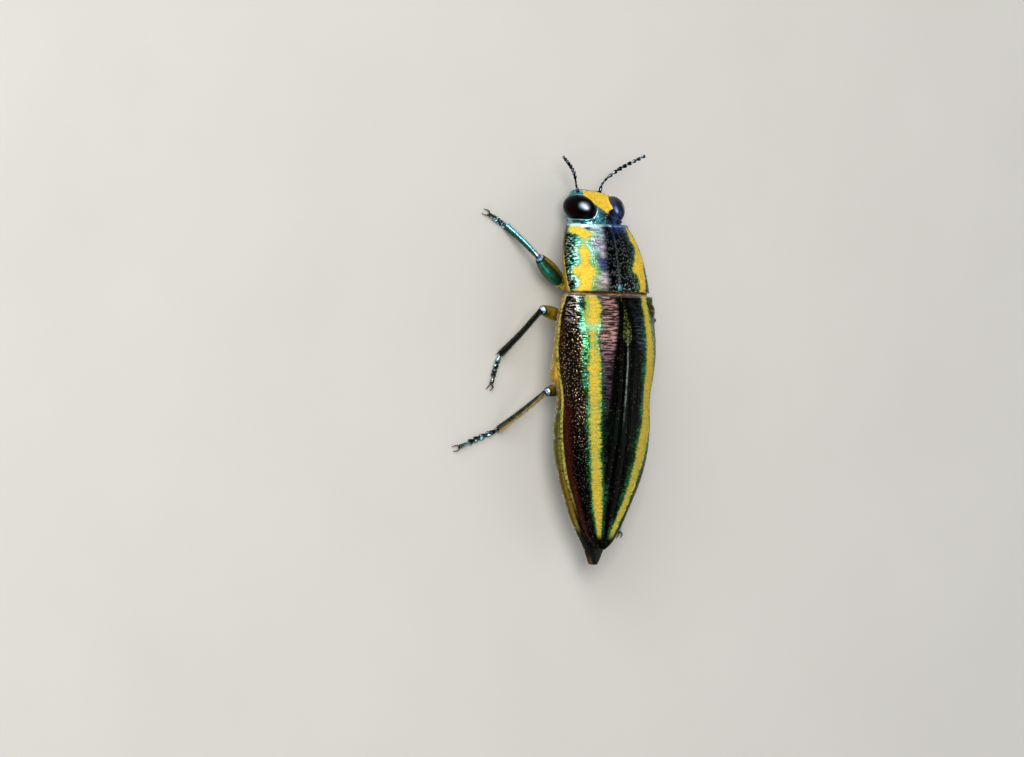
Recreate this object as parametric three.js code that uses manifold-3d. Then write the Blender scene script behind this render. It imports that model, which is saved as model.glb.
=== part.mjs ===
// A slender jewel beetle (family Buprestidae) standing on the floor, at life size.
// Millimetres, +Z up, head towards -Y, the beetle's own left towards +X.
// Every plate of the body is a solid of its own, parted from its neighbours by a thin seam.
import * as THREE from 'three';
import { mergeVertices } from 'three/addons/utils/BufferGeometryUtils.js';
import Module from 'manifold-3d';

const wasm = await Module();
wasm.setup();

// ---------------------------------------------------------------- driving dimensions

const SEAM = 0.05;
// Heights are counted from the side margin of the wing cases, which is carried this far up.
const MARGIN_HEIGHT = 4.2;
const FLOOR = -MARGIN_HEIGHT;

// Stations along the body, from the middle of its length.
const HEAD_FRONT = -15.0;
const HEAD_BACK = -11.2;
const PRONOTUM_FRONT = -12.2;
const PRONOTUM_BACK = -6.72;
const MESOTHORAX_FRONT = -6.65;
const WING_CASE_FRONT = -6.5;
const MESOTHORAX_BACK = -4.3;
const METATHORAX_BACK = 1.05;
const WING_CASE_BACK = 13.82;
const ABDOMEN_BACK = 15.1;
const BELLY_SEAMS = [5.0, 7.6, 9.9, 12.1];

// Head: half width, brow line that falls to the mouth, and chin line.
const headWidth = profile([[-15.0, 1.25], [-14.5, 1.85], [-13.6, 2.28], [-12.4, 2.3], [-11.2, 2.1]]);
const headTop = profile([[-15.0, -2.15], [-14.3, -1.0], [-13.3, -0.02], [-12.4, 0.16], [-11.2, 0.1]]);
const headChin = profile([[-15.0, -3.2], [-13.8, -3.4], [-12.4, -3.2], [-11.2, -2.6]]);
const HEAD_BULGE = 0.85;

// Eyes: bulging ovals whose upper ends lean towards each other on the crown.
const EYE_CENTRE = [1.7, -13.42, -1.28];
const EYE_HALF_SIZE = [0.92, 1.08, 1.5];
const EYE_LEAN_IN = 0.38;
const EYE_LEAN_BACK = -0.3;

// Feelers: eleven joints, each wider at its outer end, along a curve that leaves the brow.
const FEELER_JOINTS = 11;
const FEELER_RADIUS = 0.25;
const FEELER_JOINT_FLARE = 0.16;
const FEELER_PATHS = {
  left: [
    [1.1, -14.6, -2.2], [1.35, -15.2, -2.2], [1.7, -16.05, -2.0], [2.3, -16.7, -1.75], [3.5, -17.5, -1.3],
  ],
  right: [
    [-0.95, -14.6, -2.1], [-1.0, -15.15, -2.1], [-1.5, -15.95, -1.9], [-2.65, -16.85, -1.5],
    [-4.65, -17.9, -0.9],
  ],
};

// Mouthparts: the upper lip and a pair of jaws that meet on the midline.
const LABRUM = { centre: [0, -14.74, -3.1], halfSize: [0.7, 0.34, 0.32] };
const MANDIBLE = { centre: [0.42, -14.5, -3.48], halfSize: [0.42, 0.5, 0.42] };

// Prothorax: half width, top line, keel line, and the straight side margin that falls forwards.
const PRONOTUM_MARGIN_BACK = 0.5;
const PRONOTUM_MARGIN_SLOPE = 0.34;
const PROTHORAX_KEEL_BULGE = 1.7;
const pronotumWidth = profile([[-12.2, 2.92], [-11.2, 3.38], [-9.7, 3.86], [-8.2, 4.03], [-6.72, 4.06]]);
const pronotumTop = profile([[-12.2, 0.62], [-10.9, 1.18], [-9.0, 1.66], [-7.6, 1.9], [-6.72, 1.9]]);
const pronotumKeel = profile([[-12.2, -2.95], [-10.0, -2.75], [-6.72, -2.5]]);
const pronotumMargin = (y) => PRONOTUM_MARGIN_BACK + PRONOTUM_MARGIN_SLOPE * (y - PRONOTUM_BACK);

// Scutellum: the tiny shield between the bases of the wing cases.
const SCUTELLUM_LENGTH = 0.62;
const SCUTELLUM_WIDTH = 0.6;
const SCUTELLUM_REACH = 4;

// Wing cases: half width, height of the suture and height of the side margin along the body, and
// how far their section departs from an ellipse (1) towards a flat back with steep sides (0).
const WING_CASE_WALL = 0.55;
const WING_CASE_LIP = 0.25;
const WING_CASE_TIP_WALL = 0.9;
const wingCaseWidth = profile([
  [-6.5, 4.28], [-6.0, 4.45], [-4.1, 4.63], [-2.0, 4.76], [-0.1, 4.53], [1.1, 4.26], [2.2, 4.17],
  [3.9, 4.25], [5.9, 4.08], [8.1, 3.56], [10.2, 2.68], [12.3, 1.72], [13.3, 0.98], [13.82, 0.3],
]);
const wingCaseTop = profile([
  [-6.5, 1.98], [-6.0, 2.3], [-5.1, 2.68], [-3.0, 3.02], [0.2, 2.96], [4.5, 2.55], [8.1, 1.87],
  [12.3, 0.92], [13.82, 0.42],
]);
const wingCaseMargin = profile([
  [-6.5, 0.55], [-5.7, 0.24], [-4.8, 0.06], [-3.6, 0], [6.0, 0], [12.3, -0.25], [13.82, 0.2],
]);
const wingCaseSection = profile([[-6.5, 1], [0.2, 0.97], [4.3, 0.87], [6.7, 0.76], [10.0, 0.67]]);

// Hind body: what fills the wing cases, and below them half width, keel line and upper rim.
const UNDER_WING_DEPTH = 1;
const UNDER_WING_TIP = 0.25;
const BELLY_RIM_CROWN = 0.02;
const BELLY_KEEL_BULGE = 1.25;
const BELLY_SIDE_BULGE = 0.85;
const bellyWidth = profile([
  [-6.65, 3.85], [-3.5, 4.35], [-1.4, 4.62], [0.1, 4.86], [0.6, 4.5], [1.1, 4.12], [2.2, 4.15], [3.9, 4.42],
  [5.9, 4.42], [8.1, 3.87], [10.5, 2.92], [12.7, 1.84], [14.4, 0.95], [15.1, 0.35],
]);
const bellyKeel = profile([
  [-6.65, -2.5], [-4.0, -2.8], [-1.0, -2.85], [1.0, -2.75], [4.0, -2.6], [8.0, -2.2], [11.0, -1.85],
  [15.1, -1.2],
]);
const bellyRim = profile([
  [-6.65, 0.2], [-5.7, -0.12], [-4.8, -0.3], [6.0, -0.3], [12.3, -0.6], [15.1, -0.85],
]);

// The transverse plates that carry the hind legs: inner and outer end, front and back, top.
const HIND_PLATE = { inner: 0.3, outer: 3.9, front: 0.3, back: 1.6, top: -1.3 };

// Each pair of legs: ball of the hip joint, where the thigh starts, and the lengths of its parts.
const LEG_PAIRS = {
  fore: {
    coxa: [1.85, -7.5, -2.45], coxaSize: [0.8, 0.7, 0.8], hip: [2.45, -7.35, -2.6],
    femur: 3.44, girth: 1.4, tibia: 3.7, shin: 0.5, tarsus: 2.35, pads: 0.56,
  },
  mid: {
    coxa: [1.3, -4.9, -2.7], coxaSize: [0.75, 0.7, 0.62], hip: [2.2, -4.8, -2.95],
    femur: 4.15, girth: 1.1, tibia: 5.06, shin: 0.54, tarsus: 3.0, pads: 0.56,
  },
  hind: {
    coxa: null, coxaSize: null, hip: [1.3, 0.95, -3.05],
    femur: 3.65, girth: 1.0, tibia: 4.9, shin: 0.52, tarsus: 4.6, pads: 0.6,
  },
};

// Stance: degrees that each part turns forwards from straight out sideways, and the lift of the thigh.
const STANCE = {
  fore_left: { thigh: 37.5, lift: 8.6, shin: 50.5, foot: 27 },
  fore_right: { thigh: 44, lift: 14, shin: 107, foot: 125 },
  mid_left: { thigh: 7, lift: 30.8, shin: -64, foot: -72 },
  mid_right: { thigh: 0, lift: 37, shin: -86, foot: -62 },
  hind_left: { thigh: -6, lift: 25, shin: -46, foot: -20 },
  hind_right: { thigh: -62, lift: 8, shin: -70, foot: -82 },
};

// Thigh: a spindle between the hip and the knee. Shin: a rod that flares towards the ankle.
const KNEE_RADIUS = 0.3;
const THIGH_START = 0.08;
const THIGH_SPAN = 0.9;
const THIGH_FULLNESS = 0.8;
const SHIN_FLARE = 0.22;

// Foot: four lobed joints, the slender joint that bears the claws, and two curved claws.
const ANKLE_HEIGHT = 0.38;
const SOLE_HEIGHT = 0.24;
const INSTEP = 0.3;
const FOOT_JOINTS = 5;
const LOBE_WAIST = 0.84;
const LOBE_FLARE = 0.26;
const CLAW_JOINT_START = 0.8;
const CLAW_JOINT_RADIUS = 0.25;
const CLAW_LENGTH = 0.62;
const CLAW_BOW = 0.6;
const CLAW_SPREAD = 32;
const CLAW_BASE_RADIUS = 0.22;
const CLAW_TIP_RADIUS = 0.12;

// Fineness of the facets.
const BODY_SIDES = 20;
const THIGH_SIDES = 8;
const LIMB_SIDES = 6;
const CLAW_SIDES = 4;
const OVAL_SIDES = 10;
const EYE_SIDES = 14;
const OVAL_STACKS_PER_SIDE = 0.6;
const MERGE_DISTANCE = 1e-4;
const FAR = 30;

// ---------------------------------------------------------------- finishes

const FINISH = {
  frons: { color: 0xe0b52c, roughness: 0.5, metalness: 0.3 },
  pronotum: { color: 0x1f5a52, roughness: 0.3, metalness: 0.7 },
  wingCase: { color: 0x141612, roughness: 0.28, metalness: 0.7 },
  eye: { color: 0x17120e, roughness: 0.08, metalness: 0 },
  feeler: { color: 0x2a3036, roughness: 0.4, metalness: 0.4 },
  mouth: { color: 0x1c2a26, roughness: 0.35, metalness: 0.5 },
  amber: { color: 0xa05f1c, roughness: 0.45, metalness: 0.2 },
  belly: { color: 0xb98a26, roughness: 0.4, metalness: 0.35 },
  leg: { color: 0x1c4a3c, roughness: 0.3, metalness: 0.7 },
  shin: { color: 0x1a6a7c, roughness: 0.28, metalness: 0.75 },
};

// ---------------------------------------------------------------- shaping

/** A smooth function through knots of [place, value], level beyond its ends. */
function profile(knots) {
  const slopes = knots.map((knot, i) => {
    const before = knots[Math.max(i - 1, 0)];
    const after = knots[Math.min(i + 1, knots.length - 1)];
    return (after[1] - before[1]) / (after[0] - before[0]);
  });
  return (at) => {
    const place = THREE.MathUtils.clamp(at, knots[0][0], knots.at(-1)[0]);
    const next = Math.max(1, knots.findIndex((knot) => knot[0] >= place));
    const [start, end] = [knots[next - 1], knots[next]];
    const span = end[0] - start[0];
    const t = (place - start[0]) / span;
    const ease = t * t * (3 - 2 * t);
    const lead = t * (1 - t) * (1 - t) * slopes[next - 1];
    const trail = t * t * (t - 1) * slopes[next];
    return start[1] + (end[1] - start[1]) * ease + span * (lead + trail);
  };
}

/** Turns a closed three.js geometry into a solid that can be joined and cut. */
function solid(shape) {
  shape.deleteAttribute('normal');
  shape.deleteAttribute('uv');
  const merged = mergeVertices(shape, MERGE_DISTANCE);
  return new wasm.Manifold(new wasm.Mesh({
    numProp: 3,
    vertProperties: new Float32Array(merged.attributes.position.array),
    triVerts: new Uint32Array(merged.index.array),
  }));
}

/** Turns a solid back into a geometry. */
function surface(body) {
  const { vertProperties, triVerts } = body.getMesh();
  const shape = new THREE.BufferGeometry();
  shape.setAttribute('position', new THREE.BufferAttribute(vertProperties, 3));
  shape.setIndex(new THREE.BufferAttribute(triVerts, 1));
  shape.computeVertexNormals();
  return shape;
}

/** Bends a unit cylinder: place(t, angle, reach) gives the point for each of its vertices. */
function bent(sides, steps, place) {
  const shape = new THREE.CylinderGeometry(1, 1, 1, sides, steps);
  const spots = shape.attributes.position;
  for (let i = 0; i < spots.count; i += 1) {
    const reach = Math.hypot(spots.getX(i), spots.getZ(i));
    const angle = Math.atan2(spots.getZ(i), spots.getX(i));
    const { x, y, z } = place(spots.getY(i) + 0.5, angle, reach);
    spots.setXYZ(i, x, y, z);
  }
  return solid(shape);
}

/** A plate or trunk lofted along Y, its rings closer together towards both ends. */
function lofted(front, back, form) {
  const { steps, width, top, middle, bottom, section = () => 1 } = form;
  const { backBulge = 1, keelBulge = 1, sideBulge = 1 } = form;
  return bent(BODY_SIDES, steps, (t, angle, reach) => {
    const y = THREE.MathUtils.lerp(front, back, (1 - Math.cos(Math.PI * t)) / 2);
    const across = Math.cos(angle);
    const rise = Math.sin(angle);
    const height = rise > 0 ? top(y) - middle(y) : middle(y) - bottom(y);
    const bulge = rise > 0 ? backBulge * section(y) : keelBulge;
    return {
      x: reach * width(y) * Math.sign(across) * Math.abs(across) ** (sideBulge * section(y)),
      y,
      z: middle(y) + reach * height * Math.sign(rise) * Math.abs(rise) ** bulge,
    };
  });
}

/** A limb along a path of points, thick as radius(t), flattened where it would pass the floor. */
function limb(points, steps, radius, sides = LIMB_SIDES) {
  const path = new THREE.CatmullRomCurve3(points.map((point) => new THREE.Vector3(...point)));
  const up = new THREE.Vector3(0, 0, 1);
  return bent(sides, steps, (t, angle, reach) => {
    const ahead = path.getTangentAt(t);
    const aside = new THREE.Vector3().crossVectors(ahead, up).normalize();
    const above = new THREE.Vector3().crossVectors(aside, ahead);
    const out = path.getPointAt(t);
    out.addScaledVector(aside, Math.cos(angle) * radius(t) * reach);
    out.addScaledVector(above, Math.sin(angle) * radius(t) * reach);
    out.z = Math.max(out.z, FLOOR);
    return out;
  });
}

/** An oval body, its sizes as half lengths, that may lean about X and then Y. */
function oval(centre, halfSize, { grow = 0, leanX = 0, leanY = 0, sides = OVAL_SIDES } = {}) {
  const shape = new THREE.SphereGeometry(1, sides, Math.round(sides * OVAL_STACKS_PER_SIDE));
  shape.scale(halfSize[0] + grow, halfSize[1] + grow, halfSize[2] + grow);
  shape.rotateX(leanX);
  shape.rotateY(leanY);
  shape.translate(...centre);
  return solid(shape);
}

/** A block between two corners. */
function block(low, high) {
  const shape = new THREE.BoxGeometry(high[0] - low[0], high[1] - low[1], high[2] - low[2]);
  shape.translate((high[0] + low[0]) / 2, (high[1] + low[1]) / 2, (high[2] + low[2]) / 2);
  return solid(shape);
}

/** The part of a body between two stations along Y. */
function between(body, front, back) {
  return body.intersect(block([-FAR, front, -FAR], [FAR, back, FAR]));
}

/** All that lies on one side of the midline, half a seam away from it. */
function sideSpace(side) {
  const [low, high] = side > 0 ? [SEAM / 2, FAR] : [-FAR, -SEAM / 2];
  return block([low, -FAR, -FAR], [high, FAR, FAR]);
}

/** The same point on the given side of the body. */
function onSide(point, side) {
  return [side * point[0], point[1], point[2]];
}

const SIDES = { left: 1, right: -1 };
const beetle = new THREE.Group();

function add(name, body, finish) {
  const mesh = new THREE.Mesh(surface(body), new THREE.MeshStandardMaterial(FINISH[finish]));
  mesh.name = name;
  beetle.add(mesh);
}

// ---------------------------------------------------------------- legs

/** A direction turned forwards from sideways-out by turn degrees and lifted by lift degrees. */
function heading(side, turn, lift = 0) {
  const [a, b] = [THREE.MathUtils.degToRad(turn), THREE.MathUtils.degToRad(lift)];
  return new THREE.Vector3(side * Math.cos(a) * Math.cos(b), -Math.sin(a) * Math.cos(b), Math.sin(b));
}

/** Where the hip, the knee, the ankle and the tip of the foot are, and where the foot points. */
function stand(pair, pose, side) {
  const hip = new THREE.Vector3(...onSide(pair.hip, side));
  const knee = hip.clone().addScaledVector(heading(side, pose.thigh, pose.lift), pair.femur);
  const drop = knee.z - (FLOOR + ANKLE_HEIGHT);
  const stride = Math.sqrt(pair.tibia ** 2 - drop ** 2);
  const ankle = knee.clone().addScaledVector(heading(side, pose.shin), stride);
  ankle.z = FLOOR + ANKLE_HEIGHT;
  const ahead = heading(side, pose.foot);
  const toe = ankle.clone().addScaledVector(ahead, pair.tarsus - CLAW_LENGTH);
  return { hip, knee, ankle, toe, ahead };
}

function thigh(pair, joints, grow = 0) {
  const swell = (t) => Math.sin(Math.PI * (THIGH_START + THIGH_SPAN * t)) ** THIGH_FULLNESS;
  const girth = (t) => KNEE_RADIUS + (pair.girth / 2 - KNEE_RADIUS) * swell(t) + grow;
  return limb([joints.hip.toArray(), joints.knee.toArray()], 6, girth, THIGH_SIDES);
}

function shin(pair, joints, grow = 0) {
  const girth = (t) => pair.shin / 2 * (1 + SHIN_FLARE * t * t) + grow;
  return limb([joints.knee.toArray(), joints.ankle.toArray()], 3, girth);
}

/** A claw that leaves the toe to one hand, bows forwards and comes down on its tip. */
function claw(toe, ahead, hand) {
  const swing = THREE.MathUtils.degToRad(CLAW_SPREAD * hand);
  const out = ahead.clone().applyAxisAngle(new THREE.Vector3(0, 0, 1), swing);
  const root = toe.clone().addScaledVector(ahead, -CLAW_TIP_RADIUS);
  const bow = root.clone().addScaledVector(out, CLAW_LENGTH * CLAW_BOW);
  const tip = bow.clone().addScaledVector(ahead, CLAW_LENGTH * CLAW_BOW);
  tip.z = FLOOR + CLAW_TIP_RADIUS;
  const girth = (t) => THREE.MathUtils.lerp(CLAW_BASE_RADIUS, CLAW_TIP_RADIUS, t);
  return limb([root.toArray(), bow.toArray(), tip.toArray()], 3, girth, CLAW_SIDES);
}

/** The foot, flat underneath where it rests. */
function foot(pair, joints) {
  const low = FLOOR + SOLE_HEIGHT;
  const instep = joints.ankle.clone().lerp(joints.toe, INSTEP).setZ(low);
  const toe = joints.toe.clone().setZ(low);
  const lobe = (t) => {
    const flare = LOBE_WAIST + LOBE_FLARE * ((t * FOOT_JOINTS) % 1);
    return t > CLAW_JOINT_START ? CLAW_JOINT_RADIUS : pair.pads / 2 * flare;
  };
  const sole = limb([joints.ankle.toArray(), instep.toArray(), toe.toArray()], FOOT_JOINTS * 2, lobe);
  return sole.add(claw(toe, joints.ahead, -1)).add(claw(toe, joints.ahead, 1));
}

// The room that the legs need in the plates they spring from.
const legRooms = [];
for (const [pairName, pair] of Object.entries(LEG_PAIRS)) {
  for (const [sideName, side] of Object.entries(SIDES)) {
    const joints = stand(pair, STANCE[`${pairName}_${sideName}`], side);
    const thighRoom = thigh(pair, joints, SEAM);
    let femur = thigh(pair, joints);
    if (pair.coxa) {
      const ball = onSide(pair.coxa, side);
      const coxaRoom = oval(ball, pair.coxaSize, { grow: SEAM });
      add(`coxa_${pairName}_${sideName}`, oval(ball, pair.coxaSize), 'amber');
      femur = femur.subtract(coxaRoom);
      legRooms.push(coxaRoom);
    }
    legRooms.push(thighRoom);
    add(`femur_${pairName}_${sideName}`, femur, 'leg');
    add(`tibia_${pairName}_${sideName}`, shin(pair, joints).subtract(thighRoom), 'shin');
    add(`tarsus_${pairName}_${sideName}`, foot(pair, joints).subtract(shin(pair, joints, SEAM)), 'leg');
  }
}

// ---------------------------------------------------------------- head

/** The head, or, grown by a seam, the socket that takes it. */
function headCapsule(grow) {
  return lofted(HEAD_FRONT - grow, HEAD_BACK + grow, {
    steps: 9,
    width: (y) => headWidth(y) + grow,
    top: (y) => headTop(y) + grow,
    middle: (y) => (headTop(y) + headChin(y)) / 2,
    bottom: (y) => headChin(y) - grow,
    backBulge: HEAD_BULGE,
    keelBulge: HEAD_BULGE,
    sideBulge: HEAD_BULGE,
  });
}

const headRoom = headCapsule(SEAM);
const labrumRoom = oval(LABRUM.centre, LABRUM.halfSize, { grow: SEAM });
let head = headCapsule(0).subtract(labrumRoom);

for (const [sideName, side] of Object.entries(SIDES)) {
  const eyeAt = onSide(EYE_CENTRE, side);
  const lean = { leanX: EYE_LEAN_BACK, leanY: -side * EYE_LEAN_IN, sides: EYE_SIDES };
  add(`eye_${sideName}`, oval(eyeAt, EYE_HALF_SIZE, lean), 'eye');
  head = head.subtract(oval(eyeAt, EYE_HALF_SIZE, { grow: SEAM, ...lean }));

  const bead = (t) => FEELER_RADIUS * (1 + FEELER_JOINT_FLARE * ((t * FEELER_JOINTS) % 1));
  const feeler = limb(FEELER_PATHS[sideName], FEELER_JOINTS * 2, bead);
  add(`antenna_${sideName}`, feeler.subtract(headRoom), 'feeler');

  const jawAt = onSide(MANDIBLE.centre, side);
  const jaw = oval(jawAt, MANDIBLE.halfSize).subtract(labrumRoom).intersect(sideSpace(side));
  add(`mandible_${sideName}`, jaw, 'mouth');
  head = head.subtract(oval(jawAt, MANDIBLE.halfSize, { grow: SEAM }));
}
add('head', head, 'frons');
add('labrum', oval(LABRUM.centre, LABRUM.halfSize), 'mouth');

// ---------------------------------------------------------------- prothorax

let prothorax = lofted(PRONOTUM_FRONT, PRONOTUM_BACK, {
  steps: 8,
  width: pronotumWidth,
  top: pronotumTop,
  middle: pronotumMargin,
  bottom: pronotumKeel,
  keelBulge: PROTHORAX_KEEL_BULGE,
});
for (const room of [headRoom, ...legRooms]) prothorax = prothorax.subtract(room);

// A thin slanting cut along the side margin parts the shield above from the plate below.
const marginCut = new THREE.BoxGeometry(2 * FAR, 2 * FAR, SEAM);
marginCut.rotateX(Math.atan(PRONOTUM_MARGIN_SLOPE));
marginCut.translate(0, PRONOTUM_BACK, PRONOTUM_MARGIN_BACK);
const topOf = (body) => body.boundingBox().max[2];
const [pronotum, prosternum] = prothorax.subtract(solid(marginCut)).decompose()
  .sort((one, other) => topOf(other) - topOf(one));
add('pronotum', pronotum, 'pronotum');
add('prosternum', prosternum, 'belly');

// ---------------------------------------------------------------- wing cases

/** The room under the wing cases, or, with a seam's allowance, the body that fills it. */
function underWingCases(allowance) {
  const inset = WING_CASE_WALL + allowance;
  return lofted(MESOTHORAX_FRONT, WING_CASE_BACK - WING_CASE_TIP_WALL - allowance, {
    steps: 11,
    width: (y) => Math.max(wingCaseWidth(y) - inset, UNDER_WING_TIP - allowance),
    top: (y) => wingCaseTop(y) - inset,
    middle: wingCaseMargin,
    bottom: (y) => wingCaseMargin(y) - UNDER_WING_DEPTH,
    section: wingCaseSection,
  });
}

/** A pointed shield standing at the front of the suture. */
function shield(grow) {
  const outline = new THREE.Shape();
  outline.moveTo(-SCUTELLUM_WIDTH / 2 - grow, WING_CASE_FRONT - grow);
  outline.lineTo(SCUTELLUM_WIDTH / 2 + grow, WING_CASE_FRONT - grow);
  outline.lineTo(0, WING_CASE_FRONT + SCUTELLUM_LENGTH + 2 * grow);
  return solid(new THREE.ExtrudeGeometry(outline, { depth: SCUTELLUM_REACH, bevelEnabled: false }));
}

const wingCases = lofted(WING_CASE_FRONT, WING_CASE_BACK, {
  steps: 17,
  width: wingCaseWidth,
  top: wingCaseTop,
  middle: wingCaseMargin,
  bottom: (y) => wingCaseMargin(y) - WING_CASE_LIP,
  section: wingCaseSection,
}).subtract(underWingCases(0));
add('scutellum', wingCases.intersect(shield(0)), 'amber');
for (const [sideName, side] of Object.entries(SIDES)) {
  add(`elytron_${sideName}`, wingCases.subtract(shield(SEAM)).intersect(sideSpace(side)), 'wingCase');
}

// ---------------------------------------------------------------- hind body

const underside = lofted(MESOTHORAX_FRONT, ABDOMEN_BACK, {
  steps: 14,
  width: bellyWidth,
  top: bellyRim,
  middle: (y) => bellyRim(y) - BELLY_RIM_CROWN,
  bottom: bellyKeel,
  keelBulge: BELLY_KEEL_BULGE,
  sideBulge: BELLY_SIDE_BULGE,
});
let hindBody = underWingCases(SEAM).add(underside);
for (const room of legRooms) hindBody = hindBody.subtract(room);

/** The block that takes a hind leg's plate out of the underside. */
function hindPlate(side, grow) {
  const { inner, outer, front, back, top } = HIND_PLATE;
  const [low, high] = side > 0 ? [inner, outer] : [-outer, -inner];
  return block([low - grow, front - grow, -FAR], [high + grow, back + grow, top + grow]);
}

for (const [sideName, side] of Object.entries(SIDES)) {
  add(`coxa_hind_${sideName}`, hindBody.intersect(hindPlate(side, 0)), 'amber');
  hindBody = hindBody.subtract(hindPlate(side, SEAM));
}

const trunk = {
  mesothorax: [MESOTHORAX_FRONT, MESOTHORAX_BACK],
  metathorax: [MESOTHORAX_BACK, METATHORAX_BACK],
  abdomen_base: [METATHORAX_BACK, BELLY_SEAMS[0]],
  abdomen_third: [BELLY_SEAMS[0], BELLY_SEAMS[1]],
  abdomen_fourth: [BELLY_SEAMS[1], BELLY_SEAMS[2]],
  abdomen_fifth: [BELLY_SEAMS[2], BELLY_SEAMS[3]],
  abdomen_tip: [BELLY_SEAMS[3], FAR],
};
for (const [name, [front, back]] of Object.entries(trunk)) {
  add(name, between(hindBody, front + SEAM / 2, back - SEAM / 2), 'belly');
}

// ---------------------------------------------------------------- placing

// The origin is on the floor, under the middle of the whole animal's box.
const box = new THREE.Box3().setFromObject(beetle);
beetle.position.set(-(box.min.x + box.max.x) / 2, -(box.min.y + box.max.y) / 2, -FLOOR);

export default beetle;
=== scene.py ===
"""A slender striped jewel beetle at life size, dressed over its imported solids: a still model."""
import math
import random

import bpy
import numpy as np
from bpy.props import FloatProperty, FloatVectorProperty, IntProperty, PointerProperty
from bpy.types import Operator, Panel, PropertyGroup
from mathutils import Matrix, Vector, noise


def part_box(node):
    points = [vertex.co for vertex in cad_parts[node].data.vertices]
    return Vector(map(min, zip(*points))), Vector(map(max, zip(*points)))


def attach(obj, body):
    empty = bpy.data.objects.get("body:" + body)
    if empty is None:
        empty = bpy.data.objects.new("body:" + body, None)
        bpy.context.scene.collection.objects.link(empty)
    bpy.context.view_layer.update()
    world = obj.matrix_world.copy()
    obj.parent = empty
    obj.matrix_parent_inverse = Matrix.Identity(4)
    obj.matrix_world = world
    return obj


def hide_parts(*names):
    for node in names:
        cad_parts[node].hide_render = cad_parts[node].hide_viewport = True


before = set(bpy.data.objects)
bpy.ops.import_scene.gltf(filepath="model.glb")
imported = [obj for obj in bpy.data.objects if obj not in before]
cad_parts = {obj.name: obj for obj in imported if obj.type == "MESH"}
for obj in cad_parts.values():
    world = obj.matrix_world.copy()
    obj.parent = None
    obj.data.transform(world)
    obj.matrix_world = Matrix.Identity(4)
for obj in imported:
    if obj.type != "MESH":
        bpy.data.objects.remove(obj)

bl_info = {
    "name": "Jewel beetle",
    "version": (1, 0, 0),
    "blender": (4, 5, 0),
    "location": "View3D > Sidebar > Beetle",
    "description": "Builds a still, life-size striped jewel beetle over its frame",
    "category": "Object",
}

# Pieces are shaped on a bench in millimetres: the head towards -Y, the beetle's own left towards +X,
# and heights counted from the side margin of the wing cases. Each is then carried to the frame in metres.
MM = 0.001
MARGIN_HEIGHT = 4.2
FLOOR = -MARGIN_HEIGHT
SEAM = 0.03
# Faces that meet at less than this angle are shaded as one round surface.
SMOOTH_UNDER = math.radians(60)
# Doubled points closer than this are merged.
SAME_PLACE = 1e-4

PRONOTUM_FRONT = -12.2
PRONOTUM_BACK = -6.72
WING_CASE_FRONT = -6.5
WING_CASE_BACK = 13.82
HEAD_FRONT = -15.0
HEAD_BACK = -11.2
COLLAR_FRONT = -7.05
COLLAR_BACK = -6.2
# Where the plates of the underside meet, from the front of the middle thorax to the abdomen's tip.
RING_JOINTS = (-6.65, -4.3, 1.05, 5.0, 7.6, 9.9, 12.1, 15.1)
TIP_FRONT, ABDOMEN_BACK = RING_JOINTS[-2:]
# The plate that carries a hind leg, along the body and out from the midline.
HIP_PLATE_FRONT, HIP_PLATE_BACK = 0.32, 1.58
HIP_PLATE_INNER, HIP_PLATE_OUTER = 0.32, 3.85
SIDES = {"left": 1, "right": -1}


def frame_shift():
    """Where the bench's origin lies on the frame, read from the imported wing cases."""
    left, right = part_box("elytron_left"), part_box("elytron_right")
    middle = (left[0].x + right[1].x) / 2
    return Vector((middle, left[1].y - WING_CASE_BACK * MM, MARGIN_HEIGHT * MM))


SHIFT = frame_shift()


def profile(*knots):
    """A smooth function through knots of (place, value), level beyond its ends."""
    places, values = np.array(knots, float).T
    last = len(places) - 1
    before = np.maximum(np.arange(last + 1) - 1, 0)
    after = np.minimum(np.arange(last + 1) + 1, last)
    slopes = (values[after] - values[before]) / (places[after] - places[before])

    def value(at):
        at = np.clip(at, places[0], places[-1])
        end = np.clip(np.searchsorted(places, at), 1, last)
        start = end - 1
        span = places[end] - places[start]
        t = (at - places[start]) / span
        ease = t * t * (3 - 2 * t)
        lead = t * (1 - t) ** 2 * slopes[start]
        trail = t * t * (t - 1) * slopes[end]
        return values[start] + (values[end] - values[start]) * ease + span * (lead + trail)

    return value


head_width = profile((-15.0, 1.25), (-14.5, 1.85), (-13.6, 2.28), (-12.4, 2.3), (-11.2, 2.1))
head_top = profile((-15.0, -2.15), (-14.3, -1.0), (-13.3, -0.02), (-12.4, 0.16), (-11.2, 0.1))
head_chin = profile((-15.0, -3.2), (-13.8, -3.4), (-12.4, -3.2), (-11.2, -2.6))

pronotum_width = profile((-12.2, 2.92), (-11.2, 3.38), (-9.7, 3.86), (-8.2, 4.03), (-6.72, 4.06))
pronotum_top = profile((-12.2, 0.62), (-10.9, 1.18), (-9.0, 1.66), (-7.6, 1.9), (-6.72, 1.9))
pronotum_keel = profile((-12.2, -2.95), (-10.0, -2.75), (-6.72, -2.5))


def pronotum_margin(y):
    """How high the side margin of the thorax shield lies: it sinks towards the head."""
    return 0.5 + 0.34 * (y - PRONOTUM_BACK)


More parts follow.
